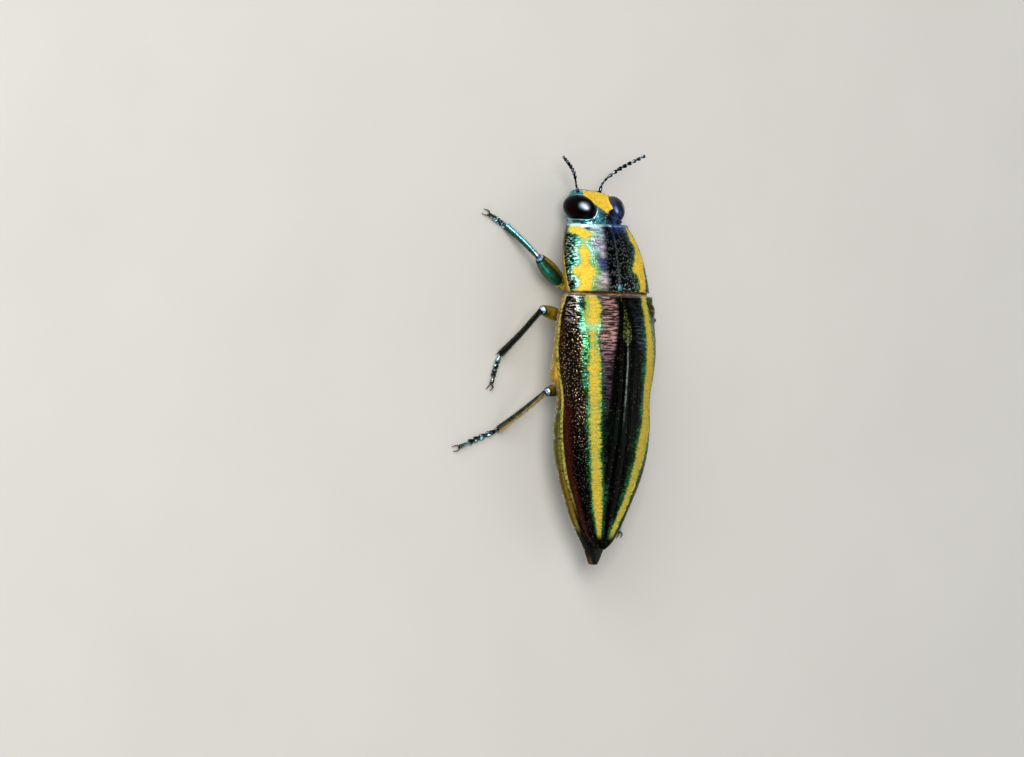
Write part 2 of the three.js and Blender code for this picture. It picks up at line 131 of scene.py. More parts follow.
case_width = profile(
    (-6.5, 4.28), (-6.0, 4.45), (-4.1, 4.63), (-2.0, 4.76), (-0.1, 4.53), (1.1, 4.26), (2.2, 4.17),
    (3.9, 4.25), (5.9, 4.08), (8.1, 3.56), (10.2, 2.68), (12.3, 1.72), (13.3, 0.98), (13.82, 0.3),
)
case_top = profile(
    (-6.5, 1.98), (-6.0, 2.3), (-5.1, 2.68), (-3.0, 3.02), (0.2, 2.96), (4.5, 2.55), (8.1, 1.87),
    (12.3, 0.92), (13.82, 0.42),
)
case_margin = profile(
    (-6.5, 0.55), (-5.7, 0.24), (-4.8, 0.06), (-3.6, 0), (6.0, 0), (12.3, -0.25), (13.82, 0.2),
)
# How far the section of the wing cases departs from an ellipse (1) towards steep sides (0).
case_section = profile((-6.5, 1), (0.2, 0.97), (4.3, 0.87), (6.7, 0.76), (10.0, 0.67))
# The share of the way across a wing case at which its rim turns under.
TURN_UNDER = 0.96
# The teeth near the tips of the wing cases: where they begin, and how long each is.
SAW_FRONT = 8.5
TOOTH_LENGTH = 0.42

belly_width = profile(
    (-6.65, 3.85), (-3.5, 4.35), (-1.4, 4.62), (0.1, 4.86), (0.6, 4.5), (1.1, 4.12), (2.2, 4.15),
    (3.9, 4.42), (5.9, 4.42), (8.1, 3.87), (10.5, 2.92), (12.1, 2.1), (13.0, 1.46), (13.9, 0.88),
    (14.6, 0.6), (15.1, 0.3),
)
belly_keel = profile(
    (-6.65, -2.5), (-4.0, -2.8), (-1.0, -2.85), (1.0, -2.75), (4.0, -2.6), (8.0, -2.2),
    (11.0, -1.85), (15.1, -1.2),
)
belly_rim = profile(
    (-6.65, 0.2), (-5.7, -0.12), (-4.8, -0.3), (6.0, -0.3), (12.3, -0.6), (15.1, -0.85),
)
# How the underside's section departs from an ellipse (1): fuller at the sides, sharper at the keel.
BELLY_SIDES = 0.85
BELLY_KEEL = 1.25

# The edges of the yellow stripe, as shares of the way from the suture (0) to the side margin (1),
# along the wing case from its base (0) to its tip (1).
STRIPE_EDGES = {
    "left": {
        "inner": (
            (0, 0.325), (0.1, 0.34), (0.17, 0.39), (0.25, 0.345), (0.41, 0.335), (0.47, 0.315),
            (0.55, 0.285), (0.61, 0.25), (0.71, 0.185), (0.82, 0.14), (0.925, 0.138), (1, 0.15),
        ),
        "outer": (
            (0, 0.5), (0.05, 0.54), (0.1, 0.55), (0.17, 0.49), (0.33, 0.5), (0.41, 0.5), (0.47, 0.48),
            (0.61, 0.405), (0.71, 0.375), (0.82, 0.37), (0.925, 0.32), (1, 0.3),
        ),
    },
    "right": {
        "inner": (
            (0, 0.33), (0.18, 0.303), (0.33, 0.326), (0.47, 0.321), (0.61, 0.23), (0.71, 0.2),
            (0.82, 0.15), (0.925, 0.07), (1, 0.06),
        ),
        "outer": (
            (0, 0.455), (0.18, 0.49), (0.33, 0.59), (0.47, 0.6), (0.61, 0.48), (0.71, 0.4), (0.82, 0.36),
            (0.925, 0.27), (1, 0.25),
        ),
    },
}
# The edges of the golden bands of the thorax shield, as shares of the way from the midline (0) to the
# side margin (1), from the front (0) to the back (1).
SHIELD_EDGES = {
    "left": {
        "inner": (
            (0, 0.6), (0.07, 0.52), (0.11, 0.42), (0.16, 0.33), (0.19, 0.43), (0.3, 0.48), (0.4, 0.41),
            (0.6, 0.41), (0.69, 0.34), (0.79, 0.38), (1, 0.42),
        ),
        "outer": (
            (0, 0.8), (0.08, 0.89), (0.12, 0.84), (0.17, 0.64), (0.26, 0.56), (0.4, 0.61), (0.54, 0.57),
            (0.6, 0.6), (0.69, 0.76), (0.79, 0.64), (0.9, 0.64), (1, 0.82),
        ),
    },
    "right": {
        "inner": (
            (0, 0.42), (0.13, 0.35), (0.21, 0.33), (0.34, 0.41), (0.47, 0.33), (0.6, 0.26), (0.67, 0.235),
            (0.73, 0.31), (0.83, 0.35), (1, 0.37),
        ),
        "outer": (
            (0, 0.46), (0.13, 0.52), (0.21, 0.6), (0.34, 0.63), (0.46, 0.72), (0.56, 0.65), (0.67, 0.6),
            (0.75, 0.62), (0.85, 0.58), (1, 0.54),
        ),
    },
}


# ---------------------------------------------------------------- settings of the model


def length(name, description, millimetres):
    """A length setting, kept in metres as the scene is."""
    return FloatProperty(
        name=name, description=description, default=millimetres * MM, min=0, unit="LENGTH", precision=5,
    )


def tint(name, description, code):
    """A colour setting from its six hex digits."""
    return FloatVectorProperty(
        name=name, description=description, subtype="COLOR", size=3, min=0, max=1, default=linear(code),
    )


def linear(code):
    """The linear parts of a colour given by six hex digits."""
    parts = [int(code[i:i + 2], 16) / 255 for i in (0, 2, 4)]
    return tuple(p / 12.92 if p <= 0.04045 else ((p + 0.055) / 1.055) ** 2.4 for p in parts)


class ShellSizes(PropertyGroup):
    """Sizes of the plates of the shell"""

    wall: length("Shell thickness", "How thick the wing cases and the thorax shield are", 0.32)
    stripe_depth: length("Stripe depth", "How far the yellow stripes lie below the black", 0.045)
    rib_height: length("Rib height", "How high the fine ribs of the wing cases stand", 0.016)
    pit_depth: length("Pit depth", "How deep the pits of the shell are", 0.04)
    pit_spacing: length("Pit spacing", "How far apart the pits of the wing cases are", 0.2)
    shield_pit_spacing: length("Shield pit spacing", "How far apart the pits of the shield are", 0.26)
    saw_depth: length("Saw teeth", "How deep the teeth near the tips of the wing cases are", 0.05)


class LimbSizes(PropertyGroup):
    """Sizes of the feelers and the legs"""

    feeler_radius: length("Feeler radius", "Half the width of a feeler's joints", 0.155)
    shin_radius: length("Shin radius", "Half the width of a shin at the knee", 0.215)
    toe_radius: length("Foot radius", "Half the width of a foot's lobed joints", 0.25)
    claw_radius: length("Claw radius", "Half the width of a claw at its root", 0.075)


class HairSizes(PropertyGroup):
    """Sizes and number of the hairs"""

    bristle: length("Bristle length", "How long the bristles of the shins are", 0.26)
    down: length("Down length", "How long the pale hairs of the underside are", 0.3)
    radius: length("Hair radius", "Half the width of a hair at its root", 0.011)
    down_count: IntProperty(
        name="Down count", description="Pale hairs on the underside", default=1500, min=0,
    )
    seed: IntProperty(name="Seed", description="Sets the scatter of the hairs", default=7)


class ShellColours(PropertyGroup):
    """Colours of the markings"""

    powder: tint("Stripe yellow", "The powdery yellow of the stripes", "ECC028")
    powder_light: tint("Stripe light yellow", "The brightest grains of the stripes", "FCE24C")
    powder_dark: tint("Stripe ochre", "The grains between the bright ones", "C09A22")
    maroon: tint("Maroon", "The dark red band inside the side margin", "4E1E18")
    lime: tint("Lime", "The yellow-green margins", "BEB650")


class StageSizes(PropertyGroup):
    """Where the camera stands and what it takes in"""

    camera_distance: FloatProperty(
        name="Camera distance", description="From the camera to the beetle", default=0.42, unit="LENGTH",
    )
    camera_lean: FloatProperty(
        name="Camera lean", default=math.radians(38), subtype="ANGLE",
        description="How far from straight above the camera stands, to the beetle's left",
    )
    camera_roll: FloatProperty(
        name="Camera roll", description="How far the picture is turned", default=math.radians(1.083),
        subtype="ANGLE",
    )
    field: FloatProperty(
        name="Field", description="Width of what the picture takes in", default=0.08192, unit="LENGTH",
    )


SETTINGS = {
    "beetle_shell": ShellSizes,
    "beetle_limbs": LimbSizes,
    "beetle_hairs": HairSizes,
    "beetle_colours": ShellColours,
    "beetle_stage": StageSizes,
}


def setting(group, name):
    """A setting of the scene, its lengths turned into millimetres."""
    value = getattr(getattr(bpy.context.scene, group), name)
    return value / MM if isinstance(value, float) else value


# ---------------------------------------------------------------- the bench


def clear_bench():
    """Leaves edit mode and deselects everything."""
    if bpy.context.object and bpy.context.object.mode != "OBJECT":
        bpy.ops.object.mode_set(mode="OBJECT")
    bpy.ops.object.select_all(action="DESELECT")


def take(piece):
    """Makes a piece the only one selected, and the active one."""
    clear_bench()
    piece.select_set(True)
    bpy.context.view_layer.objects.active = piece


def points(piece):
    """The places of a piece's vertices."""
    flat = np.empty(len(piece.data.vertices) * 3)
    piece.data.vertices.foreach_get("co", flat)
    return flat.reshape(-1, 3)


def set_points(piece, places):
    """Moves a piece's vertices to new places."""
    piece.data.vertices.foreach_set("co", np.ascontiguousarray(places, np.float32).ravel())
    piece.data.update()


def normals(piece):
    """The directions in which a piece's vertices face."""
    flat = np.empty(len(piece.data.vertices) * 3)
    piece.data.vertices.foreach_get("normal", flat)
    return flat.reshape(-1, 3)


def keep_values(piece, name, values):
    """Stores a number for each vertex, which the finish can read."""
    layer = piece.data.attributes.new(name, "FLOAT", "POINT")
    layer.data.foreach_set("value", np.asarray(values, np.float32))


def read_values(piece, name):
    """The numbers that keep_values stored."""
    values = np.empty(len(piece.data.vertices))
    piece.data.attributes[name].data.foreach_get("value", values)
    return values


def keep_pattern(piece, across, along):
    """Writes the UV map that the markings follow, from two numbers for each vertex."""
    layer = piece.data.uv_layers[0]
    layer.name = "Pattern"
    corners = np.empty(len(piece.data.loops), np.int32)
    piece.data.loops.foreach_get("vertex_index", corners)
    pairs = np.column_stack([across[corners], along[corners]])
    layer.data.foreach_set("uv", pairs.astype(np.float32).ravel())


def close(piece, fill=False):
    """Merges doubles, closes holes where asked, and turns all faces outwards."""
    take(piece)
    bpy.ops.object.mode_set(mode="EDIT")
    bpy.ops.mesh.select_all(action="SELECT")
    bpy.ops.mesh.remove_doubles(threshold=SAME_PLACE)
    if fill:
        bpy.ops.mesh.fill_holes(sides=0)
        bpy.ops.mesh.select_all(action="SELECT")
    bpy.ops.mesh.normals_make_consistent(inside=False)
    bpy.ops.object.mode_set(mode="OBJECT")


def apply_modifier(piece, kind, **values):
    """Adds a modifier and applies it."""
    take(piece)
    modifier = piece.modifiers.new(kind.title(), kind)
    for key, value in values.items():
        setattr(modifier, key, value)
    bpy.ops.object.modifier_apply(modifier=modifier.name)


def roughen(piece, kind, size, strength):
    """Raises and sinks a surface by a procedural texture whose grain is size wide."""
    grain = bpy.data.textures.new("grain", kind)
    grain.noise_scale = size
    apply_modifier(
        piece, "DISPLACE", texture=grain, texture_coords="LOCAL", strength=strength, mid_level=0.5,
    )
    bpy.data.textures.remove(grain)


def new_piece(name):
    """Names the primitive that was just added."""
    piece = bpy.context.object
    piece.name = piece.data.name = name
    return piece


def join(pieces, name):
    """Joins pieces into one mesh."""
    take(pieces[0])
    for piece in pieces[1:]:
        piece.select_set(True)
    bpy.ops.object.join()
    return new_piece(name)


def copy_to(piece, matrix):
    """A copy of a piece with a mesh of its own, moved by a matrix that is then applied."""
    take(piece)
    bpy.ops.object.duplicate(linked=False)
    made = bpy.context.object
    made.matrix_world = matrix @ made.matrix_world
    bpy.ops.object.transform_apply(location=True, rotation=True, scale=True)
    return made


def discard(*pieces):
    """Deletes the patterns that copies were made from."""
    for piece in pieces:
        bpy.data.objects.remove(piece)


def settle(piece, slot_name, *nodes, finish=None):
    """Carries a finished piece from the bench to its place on the frame.

    nodes are the solids that it stands in for; without a finish it keeps the materials it has.
    """
    take(piece)
    piece.scale = (MM, MM, MM)
    piece.location = SHIFT
    bpy.ops.object.transform_apply(location=True, rotation=True, scale=True)
    bpy.ops.object.shade_smooth_by_angle(angle=SMOOTH_UNDER)
    if finish:
        piece.data.materials.clear()
        piece.data.materials.append(finish)
    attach(piece, "root")
    if nodes:
        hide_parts(*nodes)
    return piece


# ---------------------------------------------------------------- forms


def lerp(start, end, share):
    """The value a share of the way from start to end."""
    return start + (end - start) * share


def bump_at(value, centre, width):
    """A rounded bump of height one."""
    return np.exp(-(((value - centre) / width) ** 2))


def ramp_up(value, low, high):
    """Rises smoothly from 0 at low to 1 at high."""
    t = np.clip((value - low) / (high - low), 0, 1)
    return t * t * (3 - 2 * t)


def sampled(at, places):
    """A number between places along a list of (place, value)."""
    return np.interp(at, *zip(*places))


def pitting(places, spacing, size=0.55):
    """A scatter of round pits: 0 outside them, 1 in the middle of each."""
    near = np.array([noise.voronoi(place)[0][0] for place in places / spacing])
    return ramp_up(size - near, 0, size)


def wrinkles(places, pitch):
    """A smooth scatter between -1 and 1, with its own pitch along each axis."""
    return np.array([noise.noise(place) for place in places / np.array(pitch)])


def sheet(name, columns, rows):
    """A flat grid to be bent into a form: the piece, and the column and row of each of its vertices."""
    clear_bench()
    bpy.ops.mesh.primitive_grid_add(x_subdivisions=columns, y_subdivisions=rows, size=2)
    piece = new_piece(name)
    flat = (points(piece)[:, :2] + 1) / 2
    return piece, np.rint(flat[:, 0] * columns).astype(int), np.rint(flat[:, 1] * rows).astype(int)


def end_swell(near_end):
    """How wide a form is near its end: a quarter circle from 0 at the end to 1."""
    return np.sqrt(np.clip(1 - (1 - np.clip(near_end, 0, 1)) ** 2, 0, 1))


def row_middles(rows, x_out, z_out, z_in):
    """The middle of each row's section, onto which a closed end shrinks."""
    middle_x, middle_z = np.empty(len(rows)), np.empty(len(rows))
    for number in set(rows):
        row = rows == number
        low = min(z_out[row].min(), z_in[row].min())
        high = max(z_out[row].max(), z_in[row].max())
        middle_z[row] = (low + high) / 2
        middle_x[row] = (x_out[row].min() + x_out[row].max()) / 2
    return middle_x, middle_z


def plate(name, front, back, outer, inner, columns, rows, whole=False, relief=None):
    """A plate of the shell: an outer face and an inner one between two stations along Y.

    outer and inner give x and z for a share across and a station. columns are the numbers of faces
    across the outer and the inner face. A whole plate closes to a point at both ends, a shell keeps
    its thickness there. relief gives the heights of the outer face and how deep in a pit it lies.
    """
    outside, inside = columns
    across = outside + inside
    piece, column, row_number = sheet(name, across, rows)
    t = row_number / rows
    is_outer = (column <= outside) | (column == across)
    share = np.where(column <= outside, column / outside, 0)
    share = np.where(is_outer, share, 1 - (column - outside - 1) / (inside - 2))
    y = front + (back - front) * t
    x_out, z_out = outer(share, y)
    x_in, z_in = inner(share, y)
    x = np.where(is_outer, x_out, x_in)
    z = np.where(is_outer, z_out, z_in)
    # Towards an end the section shrinks, so that its edge is rounded.
    rows_rounded = 1.2 if whole else 2.5
    swell = end_swell(np.minimum(t, 1 - t) * rows / rows_rounded)
    if whole:
        middle_x, middle_z = row_middles(row_number, x_out, z_out, z_in)
    else:
        middle_x, middle_z = (x_out + x_in) / 2, (z_out + z_in) / 2
        blunt, most = 0.45, 0.12
        half = np.hypot(x - middle_x, z - middle_z)
        swell = 1 - (1 - lerp(blunt, 1, swell)) * np.minimum(1, most / np.maximum(half, 1e-6))
    x = middle_x + (x - middle_x) * swell
    z = middle_z + (z - middle_z) * swell
    places = np.column_stack([x, y, z])
    set_points(piece, places)
    keep_pattern(piece, share, t)
    height, pits = np.zeros(len(x)), np.zeros(len(x))
    if relief:
        height, pits = relief(share, y, places)
        edge = ramp_up(np.minimum(t, 1 - t), 0, 2 / rows)
        height = np.where(is_outer, height, 0) * edge
        pits = np.where(is_outer, pits, 0)
    keep_values(piece, "height", height)
    keep_values(piece, "pits", pits)
    close(piece, fill=not whole)
    set_points(piece, points(piece) + normals(piece) * read_values(piece, "height")[:, None])
    return piece


def curve_through(stops):
    """A smooth path through points: gives the place and the direction at a share of its length."""
    stops = [np.array(stop, float) for stop in stops]
    fine, steps = [], 24
    for i in range(len(stops) - 1):
        before = stops[i - 1] if i else 2 * stops[0] - stops[1]
        after = stops[i + 2] if i + 2 < len(stops) else 2 * stops[-1] - stops[-2]
        for t in np.linspace(0, 1, steps, endpoint=False):
            fine.append(0.5 * (
                2 * stops[i] + (stops[i + 1] - before) * t
                + (2 * before - 5 * stops[i] + 4 * stops[i + 1] - after) * t**2
                + (3 * stops[i] - before - 3 * stops[i + 1] + after) * t**3
            ))
    fine = np.array(fine + [stops[-1]])
    run = np.concatenate([[0], np.cumsum(np.linalg.norm(np.diff(fine, axis=0), axis=1))])

    def place(t):
        return np.array([np.interp(np.clip(t, 0, 1) * run[-1], run, fine[:, k]) for k in range(3)])

    def at(t):
        ahead = place(t + 0.01) - place(t - 0.01)
        return place(t), ahead / np.linalg.norm(ahead)

    return at


def axes(ahead):
    """The directions aside and above for a limb that points ahead."""
    aside = np.cross(ahead, (0, 0, 1))
    aside /= np.linalg.norm(aside)
    return aside, np.cross(aside, ahead)


def limb(name, path, radius, sides, rings, cap, section=None):
    """A limb along a path, radius(t) thick, rounded over the share cap of its length at both ends.

    section gives how far it stands out, beside its radius, for a turn round it and a share along it.
    """
    piece, column, row = sheet(name, sides, rings)
    angle = 2 * math.pi * column / sides
    places = np.empty((len(row), 3))
    for number in range(rings + 1):
        # More rings stand near the ends, where the limb rounds off.
        t = (1 - math.cos(math.pi * number / rings)) / 2
        swell = end_swell(min(t, 1 - t) / cap)
        centre, ahead = path(t)
        aside, above = axes(ahead)
        here = row == number
        turn = angle[here]
        girth = radius(t) * swell * (section(turn, t) if section else 1)
        places[here] = (
            centre + np.outer(np.cos(turn) * girth, aside) + np.outer(np.sin(turn) * girth, above)
        )
    places[:, 2] = np.maximum(places[:, 2], FLOOR)
    set_points(piece, places)
    keep_pattern(piece, column / sides, row / rings)
    close(piece)
    return piece


def turned(name, sides, stations):
    """A form along +Y from rings extruded one after the other: (step ahead, width, height, rise)."""
    clear_bench()
    bpy.ops.mesh.primitive_circle_add(
        vertices=sides, radius=1, fill_type="NGON", rotation=(math.pi / 2, 0, 0),
    )
    piece = new_piece(name)
    bpy.ops.object.transform_apply(location=True, rotation=True, scale=True)
    bpy.ops.object.mode_set(mode="EDIT")
    bpy.ops.mesh.select_all(action="SELECT")
    width, height, ahead, lift = 1, 1, 0, 0
    for number, (step, new_width, new_height, rise) in enumerate(stations):
        if number:
            bpy.ops.mesh.extrude_region_move(TRANSFORM_OT_translate={"value": (0, step, rise)})
            ahead, lift = ahead + step, lift + rise
        bpy.ops.transform.resize(
            value=(new_width / width, 1, new_height / height), center_override=(0, ahead, lift),
        )
        width, height = new_width, new_height
    bpy.ops.mesh.select_all(action="SELECT")
    bpy.ops.mesh.normals_make_consistent(inside=False)
    bpy.ops.object.mode_set(mode="OBJECT")
    return piece


def placing(centre, ahead, stretch):
    """The matrix that lays a form made along +Y at a place, pointing ahead."""
    aside, above = axes(np.array(ahead, float))
    matrix = Matrix.Identity(4)
    for column, axis in enumerate((aside, ahead, above)):
        for line in range(3):
            matrix[line][column] = axis[line] * stretch[column]
    for line in range(3):
        matrix[line][3] = centre[line]
    return matrix


# ---------------------------------------------------------------- the shell's surfaces


def case_share(share):
    """The share of the way to the side margin, without the rim that is turned under."""
    return np.clip(share / TURN_UNDER, 0, 1)


def side_of_case(side):
    """The outer and inner face of a wing case."""
    wall = setting("beetle_shell", "wall")
    saw = setting("beetle_shell", "saw_depth")
    notch_width, notch_length = 0.3, 0.62

    def angle(share, y, width):
        # At the base the inner edge leaves room for the little shield.
        notch = notch_width * np.clip(1 - (y - WING_CASE_FRONT) / notch_length, 0, 1)
        start = np.arccos(np.clip((SEAM / 2 + notch) / width, 0, 0.9) ** (1 / case_section(y)))
        return start * (1 - case_share(share))

    def outer(share, y):
        width = case_width(y)
        rim = np.clip((share - TURN_UNDER) / (1 - TURN_UNDER), 0, 1) * math.pi / 2
        turn = angle(share, y, width)
        tooth = 1 - ((y - SAW_FRONT) / TOOTH_LENGTH) % 1
        teeth = saw * tooth * ramp_up(y, SAW_FRONT, SAW_FRONT + 1.5) * ramp_up(share, 0.8, 0.95)
        x = (width - teeth) * np.cos(turn) ** case_section(y) - 0.1 * (1 - np.cos(rim))
        height = (case_top(y) - case_margin(y)) * np.sin(turn) ** case_section(y)
        z = case_margin(y) + height - 0.14 * np.sin(rim)
        return side * x, z

    def inner(share, y):
        width = case_width(y)
        turn = angle(share, y, width)
        narrow = np.maximum(width - wall, 0.3 * width)
        height = case_top(y) - case_margin(y)
        x = np.maximum(narrow * np.cos(turn) ** case_section(y), SEAM / 2)
        rise = np.maximum(height - wall, 0.3 * height) * np.sin(turn) ** case_section(y)
        return side * x, case_margin(y) - 0.08 + rise

    return outer, inner


def case_relief(side_name):
    """Heights of the wing case's ribs, stripe, pits and wrinkles."""
    depth = setting("beetle_shell", "stripe_depth")
    rib = setting("beetle_shell", "rib_height")
    pit_depth = setting("beetle_shell", "pit_depth")
    spacing = setting("beetle_shell", "pit_spacing")
    edges = STRIPE_EDGES[side_name]

    def relief(share, y, places):
        u = case_share(share)
        v = (y - WING_CASE_FRONT) / (WING_CASE_BACK - WING_CASE_FRONT)
        ragged = 0.02 * wrinkles(places, (0.35, 0.35, 0.35))
        inner, outer = sampled(v, edges["inner"]), sampled(v, edges["outer"])
        stripe = ramp_up(u + ragged, inner, inner + 0.03) * (1 - ramp_up(u + ragged, outer - 0.03, outer))
        stripe *= 1 - ramp_up(v, 0.94, 0.97)
        along = ramp_up(v, 0.03, 0.2) * (1 - ramp_up(v, 0.8, 0.95))
        ribs = sum(bump_at(u, line, 0.013) for line in (0.1, 0.2, 0.72, 0.82))
        ribs += 1.3 * bump_at(u, inner - 0.015, 0.014) + 1.3 * bump_at(u, outer + 0.015, 0.014)
        suture = ramp_up(v, 0.1, 0.3) * (bump_at(u, 0, 0.02) * 0.05 - bump_at(u, 0.045, 0.016) * 0.03)
        margin = 0.05 * bump_at(u, 1, 0.03) - 0.045 * bump_at(u, 0.935, 0.02)
        base = -0.07 * bump_at(y, -5.95, 0.22) * ramp_up(u, 0.08, 0.16) + 0.03 * bump_at(y, -6.4, 0.1)
        shoulder = 0.13 * bump_at(u, 0.66, 0.11) * bump_at(y, -5.4, 0.6)
        shoulder -= 0.08 * bump_at(u, 0.46, 0.08) * bump_at(y, -5.7, 0.5)
        folds = wrinkles(places, (0.9, 0.17, 0.9))
        near_base = (1 - ramp_up(y, -3, 4)) * (1 - ramp_up(u, inner - 0.02, inner + 0.02))
        fold_height = (0.008 + 0.04 * near_base) * (1 - stripe)
        pits = pitting(places, spacing) * (1 - stripe)
        grains = 0.014 * wrinkles(places, (0.1, 0.1, 0.1)) * stripe
        height = (
            rib * ribs * along * (1 - stripe) - depth * stripe + suture + margin + base + shoulder
            + folds * fold_height - pit_depth * pits * (1 - 0.5 * near_base) + grains
        )
        return height, pits

    return relief


def shield_surface():
    """The outer and inner face of the thorax shield, from its left margin over to the right."""
    wall = setting("beetle_shell", "wall")
    rim_share, rim_depth = 0.02, 0.12

    def turn(share):
        return math.pi * np.clip((share - rim_share) / (1 - 2 * rim_share), 0, 1)

    def outer(share, y):
        rim = (ramp_up(share, 1 - rim_share, 1) + 1 - ramp_up(share, 0, rim_share)) * rim_depth
        angle = turn(share)
        height = pronotum_top(y) - pronotum_margin(y)
        x = (pronotum_width(y) - rim * 0.5) * np.cos(angle)
        return x, pronotum_margin(y) + height * np.sin(angle) - rim

    def inner(share, y):
        angle = turn(share)
        height = pronotum_top(y) - pronotum_margin(y) - wall
        return (pronotum_width(y) - wall) * np.cos(angle), pronotum_margin(y) + height * np.sin(angle) - 0.1

    return outer, inner


def shield_relief(share, y, places):
    """Heights of the shield's midline, hollows, pits and margins."""
    pit_depth = setting("beetle_shell", "pit_depth")
    spacing = setting("beetle_shell", "shield_pit_spacing")
    u = np.abs(2 * share - 1)
    v = (y - PRONOTUM_FRONT) / (PRONOTUM_BACK - PRONOTUM_FRONT)
    midline = -0.035 * bump_at(u, 0, 0.035) + 0.03 * bump_at(u, 0.075, 0.03)
    hollow = -0.1 * bump_at(u, 0.55, 0.13) * ramp_up(v, 0.25, 0.45) * (0.75 + 0.25 * np.cos(v * 17))
    front_band = -0.06 * bump_at(u, 0.68, 0.2) * bump_at(v, 0.1, 0.09)
    collar = 0.05 * bump_at(v, 0.005, 0.02) - 0.05 * bump_at(v, 0.05, 0.018)
    hind_edge = 0.03 * bump_at(v, 0.995, 0.012) - 0.04 * bump_at(v, 0.965, 0.014)
    side_bead = 0.04 * bump_at(u, 1, 0.02) - 0.03 * bump_at(u, 0.965, 0.015)
    coarse = ramp_up(u, 0.62, 0.76)
    fine = pitting(places, spacing * 0.75)
    broad = pitting(places + 7, spacing * 1.05, 0.7)
    pits = lerp(fine, broad, coarse)
    folds = wrinkles(places, (0.5, 0.16, 0.5))
    waves = ramp_up(u, 0.15, 0.3) * 0.025 * folds
    height = midline + hollow + front_band + collar + hind_edge + side_bead + waves
    return height - pits * (pit_depth * 0.7 + coarse * pit_depth * 1.2) * (1 - bump_at(u, 0, 0.04)), pits


def under_arc(width, rim, keel, side_bulge, keel_bulge):
    """The face of an underside plate, from its left rim under the body to the right."""

    def outer(share, y):
        angle = math.pi * share
        across, down = np.cos(angle), np.sin(angle)
        x = width(y) * np.sign(across) * np.abs(across) ** side_bulge
        return x, rim(y) - (rim(y) - keel(y)) * down**keel_bulge

    return outer


def belly_face():
    """The face of the underside behind the shield."""
    return under_arc(belly_width, belly_rim, belly_keel, BELLY_SIDES, BELLY_KEEL)


def crown(width, rim, rise):
    """The upper face of an underside plate: a low arch that its shell hides."""

    def inner(share, y):
        angle = math.pi * share
        return width(y) * 0.97 * np.cos(angle), rim(y) + 0.04 + rise * np.sin(angle)

    return inner


def belly_relief(front, back, seams=()):
    """Heights of an underside plate: the swell of the plate, seams, fine pits and a smooth hind edge.

    A seam says whether it runs along the body, where it lies as a share, and how wide it is.
    """

    def relief(share, y, places):
        t = (y - front) / (back - front)
        u = np.abs(2 * share - 1)
        pits = pitting(places, 0.27, 0.6)
        swell = 0.05 * np.sin(np.pi * np.clip(t, 0, 1)) ** 0.5
        hind = -0.07 * ramp_up(y, back - 0.12, back)
        grooves = sum(-0.08 * bump_at(u if along else t, line, width) for along, line, width in seams)
        folds = 0.012 * wrinkles(places, (0.4, 0.2, 0.4))
        return swell + hind + grooves + folds - 0.03 * pits * ramp_up(back - y, 0.05, 0.3), pits

    return relief


# ---------------------------------------------------------------- head and its parts

EYE_CENTRE = (1.7, -13.42, -1.28)
EYE_HALF_SIZE = (0.92, 1.08, 1.5)
EYE_LEAN_IN = 0.38
EYE_LEAN_BACK = -0.3
JAW_ROOT = (0.42, -14.07, -3.48)


def eye_turn(side):
    """How an eye is turned: leaning in above, and back."""
    return Matrix.Rotation(-side * EYE_LEAN_IN, 3, "Y") @ Matrix.Rotation(EYE_LEAN_BACK, 3, "X")


def eye_distance(places, side):
    """How far points lie from the eye's middle, 1 on its surface."""
    local = (places - np.array((side * EYE_CENTRE[0], *EYE_CENTRE[1:]))) @ np.array(eye_turn(side))
    return np.linalg.norm(local / np.array(EYE_HALF_SIZE), axis=1)


def head_surface():
    """The head's crown and its chin."""
    fullness = 0.85

    def section(angle, y):
        across, up = np.cos(angle), np.sin(angle)
        middle = (head_top(y) + head_chin(y)) / 2
        half = (head_top(y) - head_chin(y)) / 2
        x = head_width(y) * np.sign(across) * np.abs(across) ** fullness
        return x, middle + half * np.sign(up) * np.abs(up) ** fullness

    def outer(share, y):
        return section(lerp(math.radians(-25), math.radians(205), share), y)

    def inner(share, y):
        return section(lerp(math.radians(-28), math.radians(-152), share), y)

    return outer, inner


def head_relief(share, y, places):
    """Heights of the brow's hollow, the rims round the eyes, the cleft of the crown and the pits."""
    x = places[:, 0]
    left, right = eye_distance(places, 1), eye_distance(places, -1)
    near = np.minimum(left, right)
    rim = 0.09 * bump_at(near, 1.06, 0.07)
    socket = -0.35 * (1 - ramp_up(near, 0.85, 1.0))
    hollow = -0.14 * bump_at(x, 0, 0.75) * bump_at(y, -14.25, 0.6)
    cleft = -0.07 * bump_at(x, 0, 0.09) * ramp_up(y, -13.6, -13.0)
    muzzle = -0.08 * bump_at(y, -14.92, 0.06)
    pits = pitting(places, 0.2, 0.6)
    folds = 0.02 * wrinkles(places, (0.3, 0.3, 0.3))
    return rim + socket + hollow + cleft + muzzle + folds - 0.045 * pits * ramp_up(near, 1.08, 1.2), pits


class BEETLE_OT_head(Operator):
    """Builds the head with its brow, eye sockets and pits"""

    bl_idname = "beetle.head"
    bl_label = "Head"

    def execute(self, context):
        outer, inner = head_surface()
        head = plate(
            "head_capsule", HEAD_FRONT, HEAD_BACK, outer, inner, (150, 60), 110, whole=True,
            relief=head_relief,
        )
        settle(head, "head_shell", "head", finish=head_finish())
        return {"FINISHED"}


